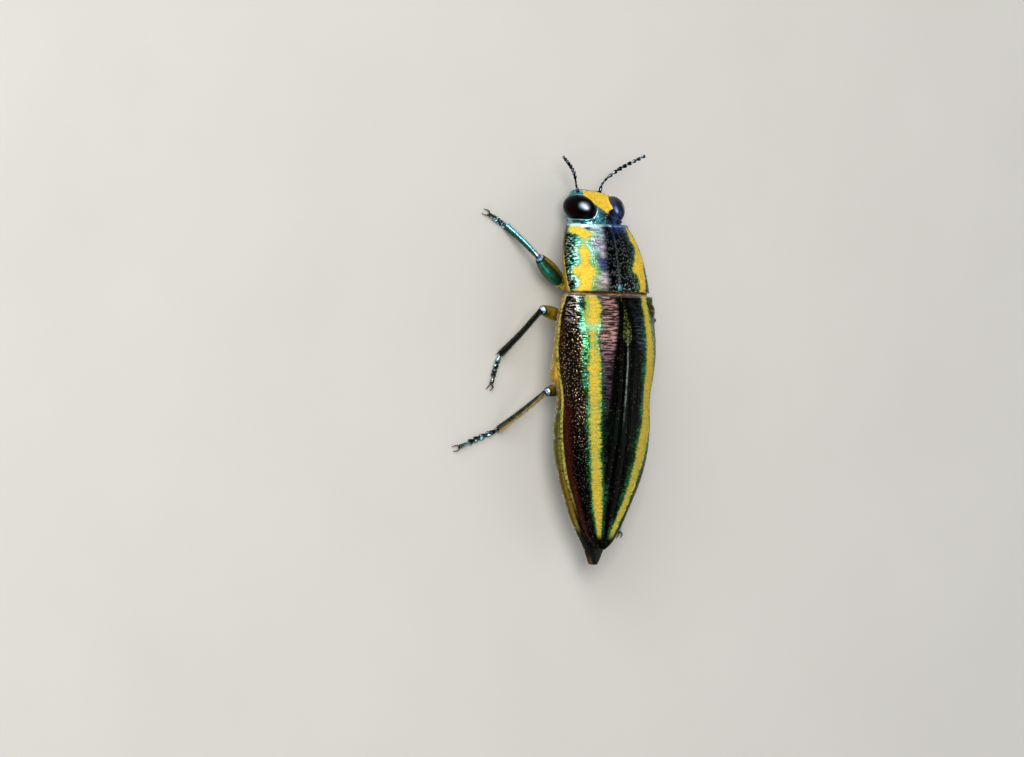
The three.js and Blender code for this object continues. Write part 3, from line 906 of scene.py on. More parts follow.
class BEETLE_OT_eyes(Operator):
    """Builds the two bulging eyes"""

    bl_idname = "beetle.eyes"
    bl_label = "Eyes"

    def execute(self, context):
        finish = eye_finish()
        for name, side in SIDES.items():
            clear_bench()
            bpy.ops.mesh.primitive_uv_sphere_add(
                segments=48, ring_count=32, radius=1, location=(side * EYE_CENTRE[0], *EYE_CENTRE[1:]),
                rotation=(EYE_LEAN_BACK, -side * EYE_LEAN_IN, 0), scale=EYE_HALF_SIZE,
            )
            eye = new_piece("eyeball_" + name)
            bpy.ops.object.transform_apply(location=True, rotation=True, scale=True)
            # The inner margin is a little straighter than the outer one, as on a kidney.
            straightening = 0.06
            places = points(eye)
            inward = np.clip((side * EYE_CENTRE[0] - places[:, 0]) * side, 0, None)
            places[:, 0] += side * straightening * inward**2
            set_points(eye, places)
            apply_modifier(eye, "SUBSURF", levels=1, render_levels=1)
            settle(eye, "eye", "eye_" + name, finish=finish)
        return {"FINISHED"}


FEELER_PATHS = {
    "left": (
        (1.1, -14.6, -2.2), (1.35, -15.2, -2.2), (1.7, -16.05, -2.0), (2.3, -16.7, -1.75),
        (3.5, -17.5, -1.3),
    ),
    "right": (
        (-0.95, -14.6, -2.1), (-1.0, -15.15, -2.1), (-1.5, -15.95, -1.9), (-2.65, -16.85, -1.5),
        (-4.65, -17.9, -0.9),
    ),
}
# Each joint of a feeler: its share of the length, and its width beside the widest.
FEELER_JOINTS = (
    (1.6, 1.0), (0.7, 0.72), (1.0, 0.7), (1.05, 0.86), (1.05, 0.94), (1.0, 0.96), (1.0, 0.95),
    (0.95, 0.92), (0.9, 0.88), (0.9, 0.84), (1.0, 0.72),
)


class BEETLE_OT_feelers(Operator):
    """Builds the saw-edged feelers, joint by joint"""

    bl_idname = "beetle.feelers"
    bl_label = "Feelers"

    def execute(self, context):
        radius = setting("beetle_limbs", "feeler_radius")
        rounded = turned("joint_round", 12, (
            (0, 0.4, 0.4, 0), (0.06, 0.62, 0.62, 0), (0.24, 0.85, 0.85, 0), (0.4, 1, 1, 0),
            (0.2, 0.85, 0.85, 0), (0.08, 0.45, 0.45, 0),
        ))
        toothed = turned("joint_toothed", 12, (
            (0, 0.36, 0.36, 0), (0.06, 0.55, 0.5, 0), (0.3, 0.9, 0.72, 0), (0.38, 1.12, 0.8, 0),
            (0.17, 1.02, 0.7, 0), (0.07, 0.42, 0.4, 0),
        ))
        # The tooth: the far corner of the joint is drawn out to one side.
        places = points(toothed)
        tooth = (places[:, 0] > 0.2) & (places[:, 1] > 0.6) & (places[:, 1] < 0.95)
        places[tooth, 0] += 0.45 * places[tooth, 0]
        set_points(toothed, places)
        finish = feeler_finish()
        rounded_joints, overlap = 3, 1.04
        total = sum(share for share, _ in FEELER_JOINTS)
        for name in SIDES:
            path = curve_through(FEELER_PATHS[name])
            start, made = 0, []
            for number, (share, width) in enumerate(FEELER_JOINTS):
                place, _ = path(start / total)
                end, _ = path((start + share) / total)
                reach = np.linalg.norm(end - place)
                form = rounded if number < rounded_joints else toothed
                stretch = (radius * width, reach * overlap, radius * width)
                made.append(copy_to(form, placing(place, (end - place) / reach, stretch)))
                start += share
            feeler = join(made, "feeler_" + name)
            apply_modifier(feeler, "SUBSURF", levels=1, render_levels=1)
            settle(feeler, "feeler", "antenna_" + name, finish=finish)
        discard(rounded, toothed)
        return {"FINISHED"}


class BEETLE_OT_mouthparts(Operator):
    """Builds the upper lip and the pair of jaws"""

    bl_idname = "beetle.mouthparts"
    bl_label = "Mouthparts"

    def execute(self, context):
        finish = mouth_finish()
        lip = turned("upper_lip", 20, (
            (0, 0.34, 0.16, 0), (0.05, 0.52, 0.25, 0), (0.16, 0.66, 0.31, 0), (0.24, 0.68, 0.32, 0),
            (0.16, 0.6, 0.28, 0), (0.06, 0.4, 0.2, 0),
        ))
        lip_front = -15.07
        lip.location = (0, lip_front, -3.1)
        bpy.ops.object.transform_apply(location=True, rotation=True, scale=True)
        # The lip's front edge is notched in the middle.
        places = points(lip)
        notch = bump_at(places[:, 0], 0, 0.16) * (1 - ramp_up(places[:, 1], lip_front, lip_front + 0.23))
        places[:, 1] += 0.12 * notch
        set_points(lip, places)
        apply_modifier(lip, "SUBSURF", levels=2, render_levels=2)
        settle(lip, "mouthparts", "labrum", finish=finish)
        for name, side in SIDES.items():
            jaw = turned("jaw_" + name, 14, (
                (0, 0.1, 0.12, 0), (-0.16, 0.24, 0.26, 0), (-0.2, 0.33, 0.35, 0), (-0.2, 0.33, 0.36, 0),
                (-0.16, 0.27, 0.28, 0), (-0.12, 0.16, 0.16, 0), (-0.08, 0.05, 0.06, 0),
            ))
            # The jaw bends inwards to a point, and stops short of the other one.
            places = points(jaw)
            bend = np.clip(-places[:, 1], 0, 1) ** 2
            places[:, 0] = side * np.maximum(JAW_ROOT[0] + places[:, 0] - 0.3 * bend, SEAM / 2)
            places[:, 1:] += JAW_ROOT[1:]
            set_points(jaw, places)
            close(jaw)
            apply_modifier(jaw, "SUBSURF", levels=2, render_levels=2)
            settle(jaw, "mouthparts", "mandible_" + name, finish=finish)
        return {"FINISHED"}


# ---------------------------------------------------------------- thorax, wing cases and abdomen


class BEETLE_OT_shield(Operator):
    """Builds the shield of the thorax with its hollows and pits"""

    bl_idname = "beetle.shield"
    bl_label = "Thorax shield"

    def execute(self, context):
        outer, inner = shield_surface()
        shield = plate(
            "thorax_shield", PRONOTUM_FRONT, PRONOTUM_BACK, outer, inner, (250, 30), 120,
            relief=shield_relief,
        )
        # The hind edge waves: it reaches furthest back at the midline, least beside it.
        places = points(shield)
        back = ramp_up(places[:, 1], -8.2, PRONOTUM_BACK)
        wave = bump_at(places[:, 0], 0, 0.55) - bump_at(np.abs(places[:, 0]), 1.9, 1.0)
        places[:, 1] += back * (0.06 * wave - 0.04)
        set_points(shield, places)
        settle(shield, "pronotum_shell", "pronotum", finish=shield_finish())
        return {"FINISHED"}


class BEETLE_OT_wing_cases(Operator):
    """Builds the two wing cases with their stripes, ribs and pits, and the little shield between them"""

    bl_idname = "beetle.wing_cases"
    bl_label = "Wing cases"

    def execute(self, context):
        for name, side in SIDES.items():
            outer, inner = side_of_case(side)
            case = plate(
                "wing_case_" + name, WING_CASE_FRONT, WING_CASE_BACK, outer, inner, (132, 12), 380,
                relief=case_relief(name),
            )
            settle(case, "wing_case_shell", "elytron_" + name, finish=case_finish(name))
        self.little_shield()
        return {"FINISHED"}

    def little_shield(self):
        """The triangle between the bases of the wing cases, its point to the back."""
        half_width, height, front, back = 0.27, 1.72, WING_CASE_FRONT + 0.01, WING_CASE_FRONT + 0.6
        clear_bench()
        bpy.ops.mesh.primitive_circle_add(
            vertices=3, radius=0.36, fill_type="NGON", location=(0, -6.25, height), rotation=(0, 0, math.pi),
        )
        scutellum = new_piece("little_shield")
        bpy.ops.object.transform_apply(location=True, rotation=True, scale=True)
        places = points(scutellum)
        places[:, 1] = np.where(places[:, 1] > -6.2, back, front)
        places[:, 0] = np.sign(np.round(places[:, 0], 3)) * half_width
        set_points(scutellum, places)
        bpy.ops.object.mode_set(mode="EDIT")
        bpy.ops.mesh.select_all(action="SELECT")
        bpy.ops.mesh.extrude_region_move(TRANSFORM_OT_translate={"value": (0, 0, 0.26)})
        bpy.ops.mesh.inset(thickness=0.05, depth=0.03)
        bpy.ops.mesh.inset(thickness=0.04, depth=-0.025)
        bpy.ops.mesh.select_all(action="SELECT")
        bpy.ops.mesh.normals_make_consistent(inside=False)
        bpy.ops.object.mode_set(mode="OBJECT")
        apply_modifier(scutellum, "BEVEL", width=0.02, segments=3, limit_method="ANGLE")
        settle(scutellum, "wing_case_shell", "scutellum", finish=scutellum_finish())


# Seams of the underside's plates: whether one runs along the body, the share where it lies, its width.
THROAT_SEAMS = ((True, 0.42, 0.03), (True, 0.78, 0.02), (False, 0.62, 0.03))
HIP_PLATE_SEAMS = ((False, 0.5, 0.05),)
# The rings between RING_JOINTS: name, rows of faces and seams.
RINGS = (
    ("mesothorax", 50, ((True, 0.45, 0.02), (True, 0.8, 0.02))),
    ("metathorax", 90, ((True, 0.0, 0.012), (True, 0.62, 0.018), (True, 0.86, 0.015))),
    ("abdomen_base", 64, ((False, 0.45, 0.02),)),
    ("abdomen_third", 44, ()),
    ("abdomen_fourth", 40, ()),
    ("abdomen_fifth", 40, ()),
)


class BEETLE_OT_underside(Operator):
    """Builds the plates of the underside, from the throat to the tip of the abdomen"""

    bl_idname = "beetle.underside"
    bl_label = "Underside"

    def execute(self, context):
        finish = belly_finish()
        throat = under_arc(pronotum_width, lambda y: pronotum_margin(y) - SEAM, pronotum_keel, 1, 1.7)
        palate = crown(pronotum_width, pronotum_margin, 0.2)
        piece = plate(
            "throat_plate", PRONOTUM_FRONT, PRONOTUM_BACK, throat, palate, (140, 16), 70,
            relief=belly_relief(PRONOTUM_FRONT, PRONOTUM_BACK, THROAT_SEAMS),
        )
        settle(piece, "underside_shell", "prosternum", finish=finish)
        belly, top = belly_face(), crown(belly_width, belly_rim, 0.3)
        for (name, rows, seams), front, back in zip(RINGS, RING_JOINTS, RING_JOINTS[1:]):
            piece = plate(
                name + "_ring", front + SEAM / 2, back - SEAM / 2, belly, top, (150, 16), rows,
                relief=belly_relief(front, back, seams),
            )
            settle(piece, "underside_shell", name, finish=finish)
        tip = plate(
            "tip_ring", TIP_FRONT + SEAM / 2, ABDOMEN_BACK, belly, top, (110, 40), 60, whole=True,
            relief=belly_relief(TIP_FRONT, ABDOMEN_BACK),
        )
        settle(tip, "underside_shell", "abdomen_tip", finish=finish)
        for name, side in SIDES.items():
            piece = plate(
                "hip_plate_" + name, HIP_PLATE_FRONT, HIP_PLATE_BACK, *self.hip_plate(side, belly),
                (60, 12), 40, relief=belly_relief(HIP_PLATE_FRONT, HIP_PLATE_BACK, HIP_PLATE_SEAMS),
            )
            settle(piece, "hip_shell", "coxa_hind_" + name, finish=finish)
        return {"FINISHED"}

    def hip_plate(self, side, belly):
        """The faces of the transverse plate that carries a hind leg."""

        def outer(share, y):
            x = lerp(HIP_PLATE_INNER, HIP_PLATE_OUTER, share)
            turn = np.arccos(np.clip(x / belly_width(y), 0, 1) ** (1 / BELLY_SIDES)) / math.pi
            _, z = belly(turn, y)
            return side * x, z - 0.03

        def inner(share, y):
            x, z = outer(share, y)
            return x, z + 0.4

        return outer, inner


class BEETLE_OT_collar(Operator):
    """Builds the amber joint skin that shows between the shield and the wing cases"""

    bl_idname = "beetle.collar"
    bl_label = "Collar"

    def execute(self, context):
        low, high = 0.2, 1.9

        def section(shrink):
            def face(share, y):
                angle = math.pi * lerp(0.04, 0.96, share)
                x = (case_width(y) - shrink) * np.cos(angle)
                return x, low + (high - shrink - low) * np.sin(angle)
            return face

        collar = plate("collar_skin", COLLAR_FRONT, COLLAR_BACK, section(0.26), section(0.55), (120, 20), 24)
        roughen(collar, "CLOUDS", 0.12, 0.03)
        settle(collar, "underside_shell", finish=collar_finish())
        return {"FINISHED"}


# ---------------------------------------------------------------- legs

LEG_PAIRS = {
    "fore": {"coxa": (1.85, -7.5, -2.45), "coxa_size": (0.8, 0.7, 0.8), "hip": (2.45, -7.35, -2.6),
             "femur": 3.44, "girth": 1.4, "tibia": 3.7, "tarsus": 2.35},
    "mid": {"coxa": (1.3, -4.9, -2.7), "coxa_size": (0.75, 0.7, 0.62), "hip": (2.2, -4.8, -2.95),
            "femur": 4.15, "girth": 1.1, "tibia": 5.06, "tarsus": 3.0},
    "hind": {"coxa": None, "coxa_size": None, "hip": (1.3, 0.95, -3.05),
             "femur": 3.65, "girth": 1.0, "tibia": 4.9, "tarsus": 4.6},
}
# Degrees that each part turns forwards from straight out sideways, and the lift of the thigh.
STANCE = {
    "fore_left": (37.5, 8.6, 50.5, 27), "fore_right": (44, 14, 107, 125),
    "mid_left": (7, 30.8, -64, -72), "mid_right": (0, 37, -86, -62),
    "hind_left": (-6, 25, -46, -20), "hind_right": (-62, 8, -70, -82),
}
ANKLE_HEIGHT = 0.38
SOLE_HEIGHT = 0.26
CLAW_LENGTH = 0.62
CLAW_SPREAD = math.radians(32)
KNEE_RADIUS = 0.3
# Tips that come down to the floor end this far above it.
TIP_CLEARANCE = 0.03
# The shares of a foot's length at which its lobed joints begin and end; the claw joint takes the rest.
FOOT_JOINTS = (0, 0.27, 0.45, 0.6, 0.74)


def heading(side, turn, lift=0):
    """A direction turned forwards from sideways-out by turn degrees and lifted by lift degrees."""
    a, b = math.radians(turn), math.radians(lift)
    return np.array((side * math.cos(a) * math.cos(b), -math.sin(a) * math.cos(b), math.sin(b)))


def stand(pair, pose, side):
    """Where the hip, the knee, the ankle and the end of the foot are, and where the foot points."""
    thigh, lift, shin, foot = pose
    hip = np.array((side * pair["hip"][0], *pair["hip"][1:]))
    knee = hip + heading(side, thigh, lift) * pair["femur"]
    drop = knee[2] - (FLOOR + ANKLE_HEIGHT)
    ankle = knee + heading(side, shin) * math.sqrt(pair["tibia"] ** 2 - drop**2)
    ankle[2] = FLOOR + ANKLE_HEIGHT
    ahead = heading(side, foot)
    return hip, knee, ankle, ankle + ahead * (pair["tarsus"] - CLAW_LENGTH), ahead


def leg_names():
    """Each leg's name, its pair's name and sizes, its side and where it stands."""
    for pair_name, pair in LEG_PAIRS.items():
        for side_name, side in SIDES.items():
            name = pair_name + "_" + side_name
            yield name, pair_name, pair, side, stand(pair, STANCE[name], side)


def shin_path(knee, ankle):
    """A shin, bowed a little away from the floor."""
    depth = 0.12
    bow = np.cross(np.cross(ankle - knee, (0, 0, 1)), ankle - knee)
    return curve_through((knee, (knee + ankle) / 2 + bow / np.linalg.norm(bow) * depth, ankle))


def shin_swell(t):
    """How a shin widens from the knee (0) to the ankle (1), beside its radius."""
    return 1 + 0.3 * t * t


class BEETLE_OT_thighs(Operator):
    """Builds hips, thighs and shins of all legs"""

    bl_idname = "beetle.thighs"
    bl_label = "Thighs and shins"

    def execute(self, context):
        hip_skin = hip_finish()
        for name, pair_name, pair, side, (hip, knee, ankle, _, _) in leg_names():
            thigh_skin = leg_finish("thigh_" + pair_name, side)
            shin_skin = leg_finish("shin_" + pair_name, side)
            if pair["coxa"]:
                self.hip(name, pair, side, hip_skin)
            self.thigh(name, pair["girth"] / 2, hip, knee, thigh_skin)
            self.shin(name, knee, ankle, shin_skin)
        return {"FINISHED"}

    def hip(self, name, pair, side, skin):
        """The rounded hip that a thigh turns on."""
        across, along, height = pair["coxa"]
        clear_bench()
        bpy.ops.mesh.primitive_uv_sphere_add(
            segments=32, ring_count=20, radius=1, location=(side * across, along, height),
            scale=pair["coxa_size"],
        )
        coxa = new_piece("hip_" + name)
        bpy.ops.object.transform_apply(location=True, rotation=True, scale=True)
        roughen(coxa, "CLOUDS", 0.5, 0.08)
        roughen(coxa, "VORONOI", 0.16, 0.03)
        settle(coxa, "hip_shell", "coxa_" + name, finish=skin)

    def thigh(self, name, radius, hip, knee, skin):
        """A thigh, swollen in the middle."""

        def thickness(t):
            swell = math.sin(math.pi * (0.08 + 0.9 * t)) ** 0.8
            return KNEE_RADIUS + (radius - KNEE_RADIUS) * swell - 0.16 * bump_at(t, 0.1, 0.04)

        def section(turn, t):
            # A channel under the end takes the folded shin.
            return 1 - 0.16 * bump_at(turn, 1.5 * math.pi, 0.5) * ramp_up(t, 0.55, 0.9)

        thigh = limb("thigh_" + name, curve_through((hip, knee)), thickness, 40, 64, 0.05, section)
        roughen(thigh, "VORONOI", 0.15, 0.02)
        settle(thigh, "leg_shell", "femur_" + name, finish=skin)

    def shin(self, name, knee, ankle, skin):
        """A three-sided shin with a knob at the knee and two spurs."""
        radius = setting("beetle_limbs", "shin_radius")

        def thickness(t):
            return radius * shin_swell(t) + 0.05 * bump_at(t, 0, 0.05)

        def section(turn, t):
            return 1 + 0.1 * np.cos(3 * (turn - math.pi / 2)) * ramp_up(t, 0.06, 0.2)

        shin = limb("shin", shin_path(knee, ankle), thickness, 30, 80, 0.03, section)
        roughen(shin, "VORONOI", 0.13, 0.02)
        shin = join([shin, *self.spurs(knee, ankle, radius)], "shin_" + name)
        settle(shin, "leg_shell", "tibia_" + name, finish=skin)

    def spurs(self, knee, ankle, radius):
        """The two short spines at the end of a shin."""
        down = (ankle - knee) / np.linalg.norm(ankle - knee)
        aside, above = axes(down)
        made = []
        for hand in (-1, 1):
            root = ankle - down * 0.12 + aside * hand * radius * 0.8 - above * radius * 0.5
            tip = root + down * 0.34 + aside * hand * 0.1
            tip[2] = max(tip[2], FLOOR + TIP_CLEARANCE)
            made.append(limb("spur", curve_through((root, tip)), lambda t: 0.055 - 0.044 * t, 8, 8, 0.1))
        return made


class BEETLE_OT_feet(Operator):
    """Builds the lobed feet with their pads and claws"""

    bl_idname = "beetle.feet"
    bl_label = "Feet"

    def execute(self, context):
        shell, pad_skin, claw_skin = foot_finish(), pad_finish(), claw_finish()
        joint = turned("joint", 16, (
            (0, 0.34, 0.4, 0), (0.08, 0.52, 0.62, 0), (0.3, 0.78, 0.82, 0), (0.3, 1.05, 0.86, 0),
            (0.22, 1.12, 0.7, -0.05), (0.12, 0.95, 0.45, -0.05), (0.05, 0.6, 0.2, 0),
        ))
        # The far edge of a joint is notched between its two lobes.
        places = points(joint)
        notch = bump_at(places[:, 0], 0, 0.45) * ramp_up(places[:, 1], 0.55, 1.0)
        places[:, 1] -= 0.28 * notch
        set_points(joint, places)
        apply_modifier(joint, "SUBSURF", levels=1, render_levels=1)
        joint.data.materials.append(shell)
        pad = turned("pad", 14, (
            (0, 0.3, 0.2, 0), (0.1, 0.7, 0.5, 0), (0.35, 0.95, 0.6, 0), (0.35, 0.95, 0.6, 0),
            (0.15, 0.6, 0.35, 0),
        ))
        apply_modifier(pad, "SUBSURF", levels=1, render_levels=1)
        pad.data.materials.append(pad_skin)
        radius = setting("beetle_limbs", "toe_radius")
        for name, _, _, _, (_, _, ankle, toe, ahead) in leg_names():
            instep = lerp(ankle, toe, 0.3)
            instep[2] = toe[2] = FLOOR + SOLE_HEIGHT
            path = curve_through((ankle, instep, toe))
            made = []
            for start, end in zip(FOOT_JOINTS, FOOT_JOINTS[1:]):
                place, _ = path(start)
                far, _ = path(end)
                reach = np.linalg.norm(far - place)
                along = (far - place) / reach
                width = radius if start else radius * 0.9
                made.append(copy_to(joint, placing(place, along, (width, reach * 1.06, radius * 0.82))))
                sole = lerp(place, far, 0.45)
                sole[2] = max(sole[2] - 0.12, FLOOR + 0.1)
                made.append(copy_to(pad, placing(sole, along, (width * 0.8, reach * 0.52, 0.17))))
            last = curve_through((path(0.7)[0], path(0.86)[0] + (0, 0, 0.05), toe))
            claw_joint = limb("claw_joint", last, lambda t: 0.12 + 0.06 * t, 14, 18, 0.08)
            claw_joint.data.materials.append(shell)
            made.append(claw_joint)
            made += self.claws(toe, ahead, claw_skin)
            foot = join(made, "foot_" + name)
            places = points(foot)
            places[:, 2] = np.maximum(places[:, 2], FLOOR)
            set_points(foot, places)
            settle(foot, "foot_shell", "tarsus_" + name)
        discard(joint, pad)
        return {"FINISHED"}

    def claws(self, toe, ahead, skin):
        """Two curved claws that come down on their tips."""
        thick = setting("beetle_limbs", "claw_radius")
        made = []
        for hand in (-1, 1):
            out = np.array(Matrix.Rotation(hand * CLAW_SPREAD, 3, "Z") @ Vector(ahead))
            root = toe - ahead * 0.05 + out * 0.04
            bow = root + out * CLAW_LENGTH * 0.55 + (0, 0, 0.08)
            tip = bow + ahead * CLAW_LENGTH * 0.5
            tip[2] = FLOOR + TIP_CLEARANCE
            path = curve_through((root, bow, tip))
            claw = limb("claw", path, lambda t: thick * (1.25 - t), 10, 20, 0.05)
            claw.data.materials.append(skin)
            made.append(claw)
        return made


# ---------------------------------------------------------------- hairs

HAIR_SIDES = 4
# Where the rings of a hair stand, as shares of its length, and how thick it is there.
HAIR_LEVELS = ((0, 1), (0.5, 0.75), (1, 0.12))
HAIR_DROOP = 0.12
# How wide and high a hair's own patch is on the UV map.
HAIR_PATCH = (0.0015, 0.003)
BRISTLE_ROWS = 5
BRISTLES_IN_ROW = 26
# Where the down begins and ends along the body, and the length that its UV map spans.
DOWN_FRONT, DOWN_BACK = -6.4, 14.6
DOWN_SPAN = 22


def hairs(name, grown, radius):
    """Solid hairs in one mesh, each given as its root, its direction, its length and its UV spot."""
    corners, faces, uvs = [], [], []
    for root, tangent, reach, spot in grown:
        ahead = tangent / np.linalg.norm(tangent)
        aside = np.cross(ahead, (0.31, 0.52, 0.8))
        aside /= np.linalg.norm(aside)
        across = np.cross(ahead, aside)
        first = len(corners)
        for level, thick in HAIR_LEVELS:
            centre = root + ahead * reach * level - (0, 0, HAIR_DROOP * reach * level**2)
            for k in range(HAIR_SIDES):
                turn = 2 * math.pi * k / HAIR_SIDES
                ring = (aside * math.cos(turn) + across * math.sin(turn)) * radius * thick
                corners.append(tuple(centre + ring))
                uvs.append((spot[0] + HAIR_PATCH[0] * math.cos(turn), spot[1] + HAIR_PATCH[1] * level))
        top = first + (len(HAIR_LEVELS) - 1) * HAIR_SIDES
        for low in range(first, top, HAIR_SIDES):
            for k in range(HAIR_SIDES):
                after = (k + 1) % HAIR_SIDES
                faces.append((low + k, low + after, low + HAIR_SIDES + after, low + HAIR_SIDES + k))
        faces.append(tuple(first + k for k in reversed(range(HAIR_SIDES))))
        faces.append(tuple(top + k for k in range(HAIR_SIDES)))
    mesh = bpy.data.meshes.new(name)
    mesh.from_pydata(corners, [], faces)
    layer = mesh.uv_layers.new(name="OFBake")
    for loop in mesh.loops:
        layer.data[loop.index].uv = uvs[loop.vertex_index]
    piece = bpy.data.objects.new(name, mesh)
    bpy.context.scene.collection.objects.link(piece)
    return piece


class BEETLE_OT_hairs(Operator):
    """Sets bristles on the shins and pale down on the underside"""

    bl_idname = "beetle.hairs"
    bl_label = "Bristles and down"

    def execute(self, context):
        draw = random.Random(context.scene.beetle_hairs.seed)
        radius = setting("beetle_hairs", "radius")
        bristles = hairs("shin_bristles", self.bristles(draw), radius)
        settle(bristles, "leg_shell", finish=hair_finish("bristle", "20201C"))
        down = hairs("underside_down", self.down(draw, context.scene.beetle_hairs.down_count), radius * 0.8)
        settle(down, "underside_shell", finish=hair_finish("down", "D8CFB4"))
        return {"FINISHED"}

    def bristles(self, draw):
        """Rows of bristles along the shins, without those that would reach the floor."""
        longest = setting("beetle_hairs", "bristle")
        shin_radius = setting("beetle_limbs", "shin_radius")
        grown = []
        for number, (_, _, _, _, (_, knee, ankle, _, _)) in enumerate(leg_names()):
            path = shin_path(knee, ankle)
            for row in range(BRISTLE_ROWS):
                turn = 2 * math.pi * row / BRISTLE_ROWS + 0.4
                for step in range(BRISTLES_IN_ROW):
                    t = 0.08 + 0.9 * (step + draw.random() * 0.6) / BRISTLES_IN_ROW
                    centre, along = path(t)
                    aside, above = axes(along)
                    lean = turn + draw.uniform(-0.2, 0.2)
                    out = aside * math.cos(lean) + above * math.sin(lean)
                    root = centre + out * shin_radius * (shin_swell(t) - 0.05)
                    tangent = out * 0.75 + along * draw.uniform(0.8, 1.2)
                    reach = longest * draw.uniform(0.6, 1.1)
                    tip = root + tangent / np.linalg.norm(tangent) * reach
                    if tip[2] < FLOOR + 0.1:
                        continue
                    spot = ((number + 0.1 + 0.8 * row / BRISTLE_ROWS) / len(STANCE), t)
                    grown.append((root, tangent, reach, spot))
        return grown

    def down(self, draw, count):
        """Pale hairs scattered over the underside, all laid back."""
        longest, belly = setting("beetle_hairs", "down"), belly_face()

        def skin(share, y):
            x, z = belly(share, y)
            return np.array((x, y, z))

        grown = []
        for _ in range(count):
            share, y = draw.uniform(0.03, 0.97), draw.uniform(DOWN_FRONT, DOWN_BACK)
            here = skin(share, y)
            beside, behind = skin(share + 0.004, y) - here, skin(share, y + 0.05) - here
            out = np.cross(behind, beside)
            out /= np.linalg.norm(out)
            if out @ (here[0], 0, here[2] + 1) < 0:
                out = -out
            tangent = out * 0.35 + behind / np.linalg.norm(behind)
            spot = (share, (y - RING_JOINTS[0]) / DOWN_SPAN)
            grown.append((here + out * 0.02, tangent, longest * draw.uniform(0.6, 1.1), spot))
        return grown


# ---------------------------------------------------------------- finishes


class Socket:
    """A shader socket that takes part in Python sums; each sum adds its Math node."""

    def __init__(self, finish, output):
        self.finish, self.output = finish, output

    def __add__(self, other):
        return self.finish.math("ADD", self, other)

    def __sub__(self, other):
        return self.finish.math("SUBTRACT", self, other)

    def __rsub__(self, other):
        return self.finish.math("SUBTRACT", other, self)

    def __mul__(self, other):
        return self.finish.math("MULTIPLY", self, other)

    def __truediv__(self, other):
        return self.finish.math("DIVIDE", self, other)

    def __abs__(self):
        return self.finish.math("ABSOLUTE", self)

    __radd__ = __add__
    __rmul__ = __mul__


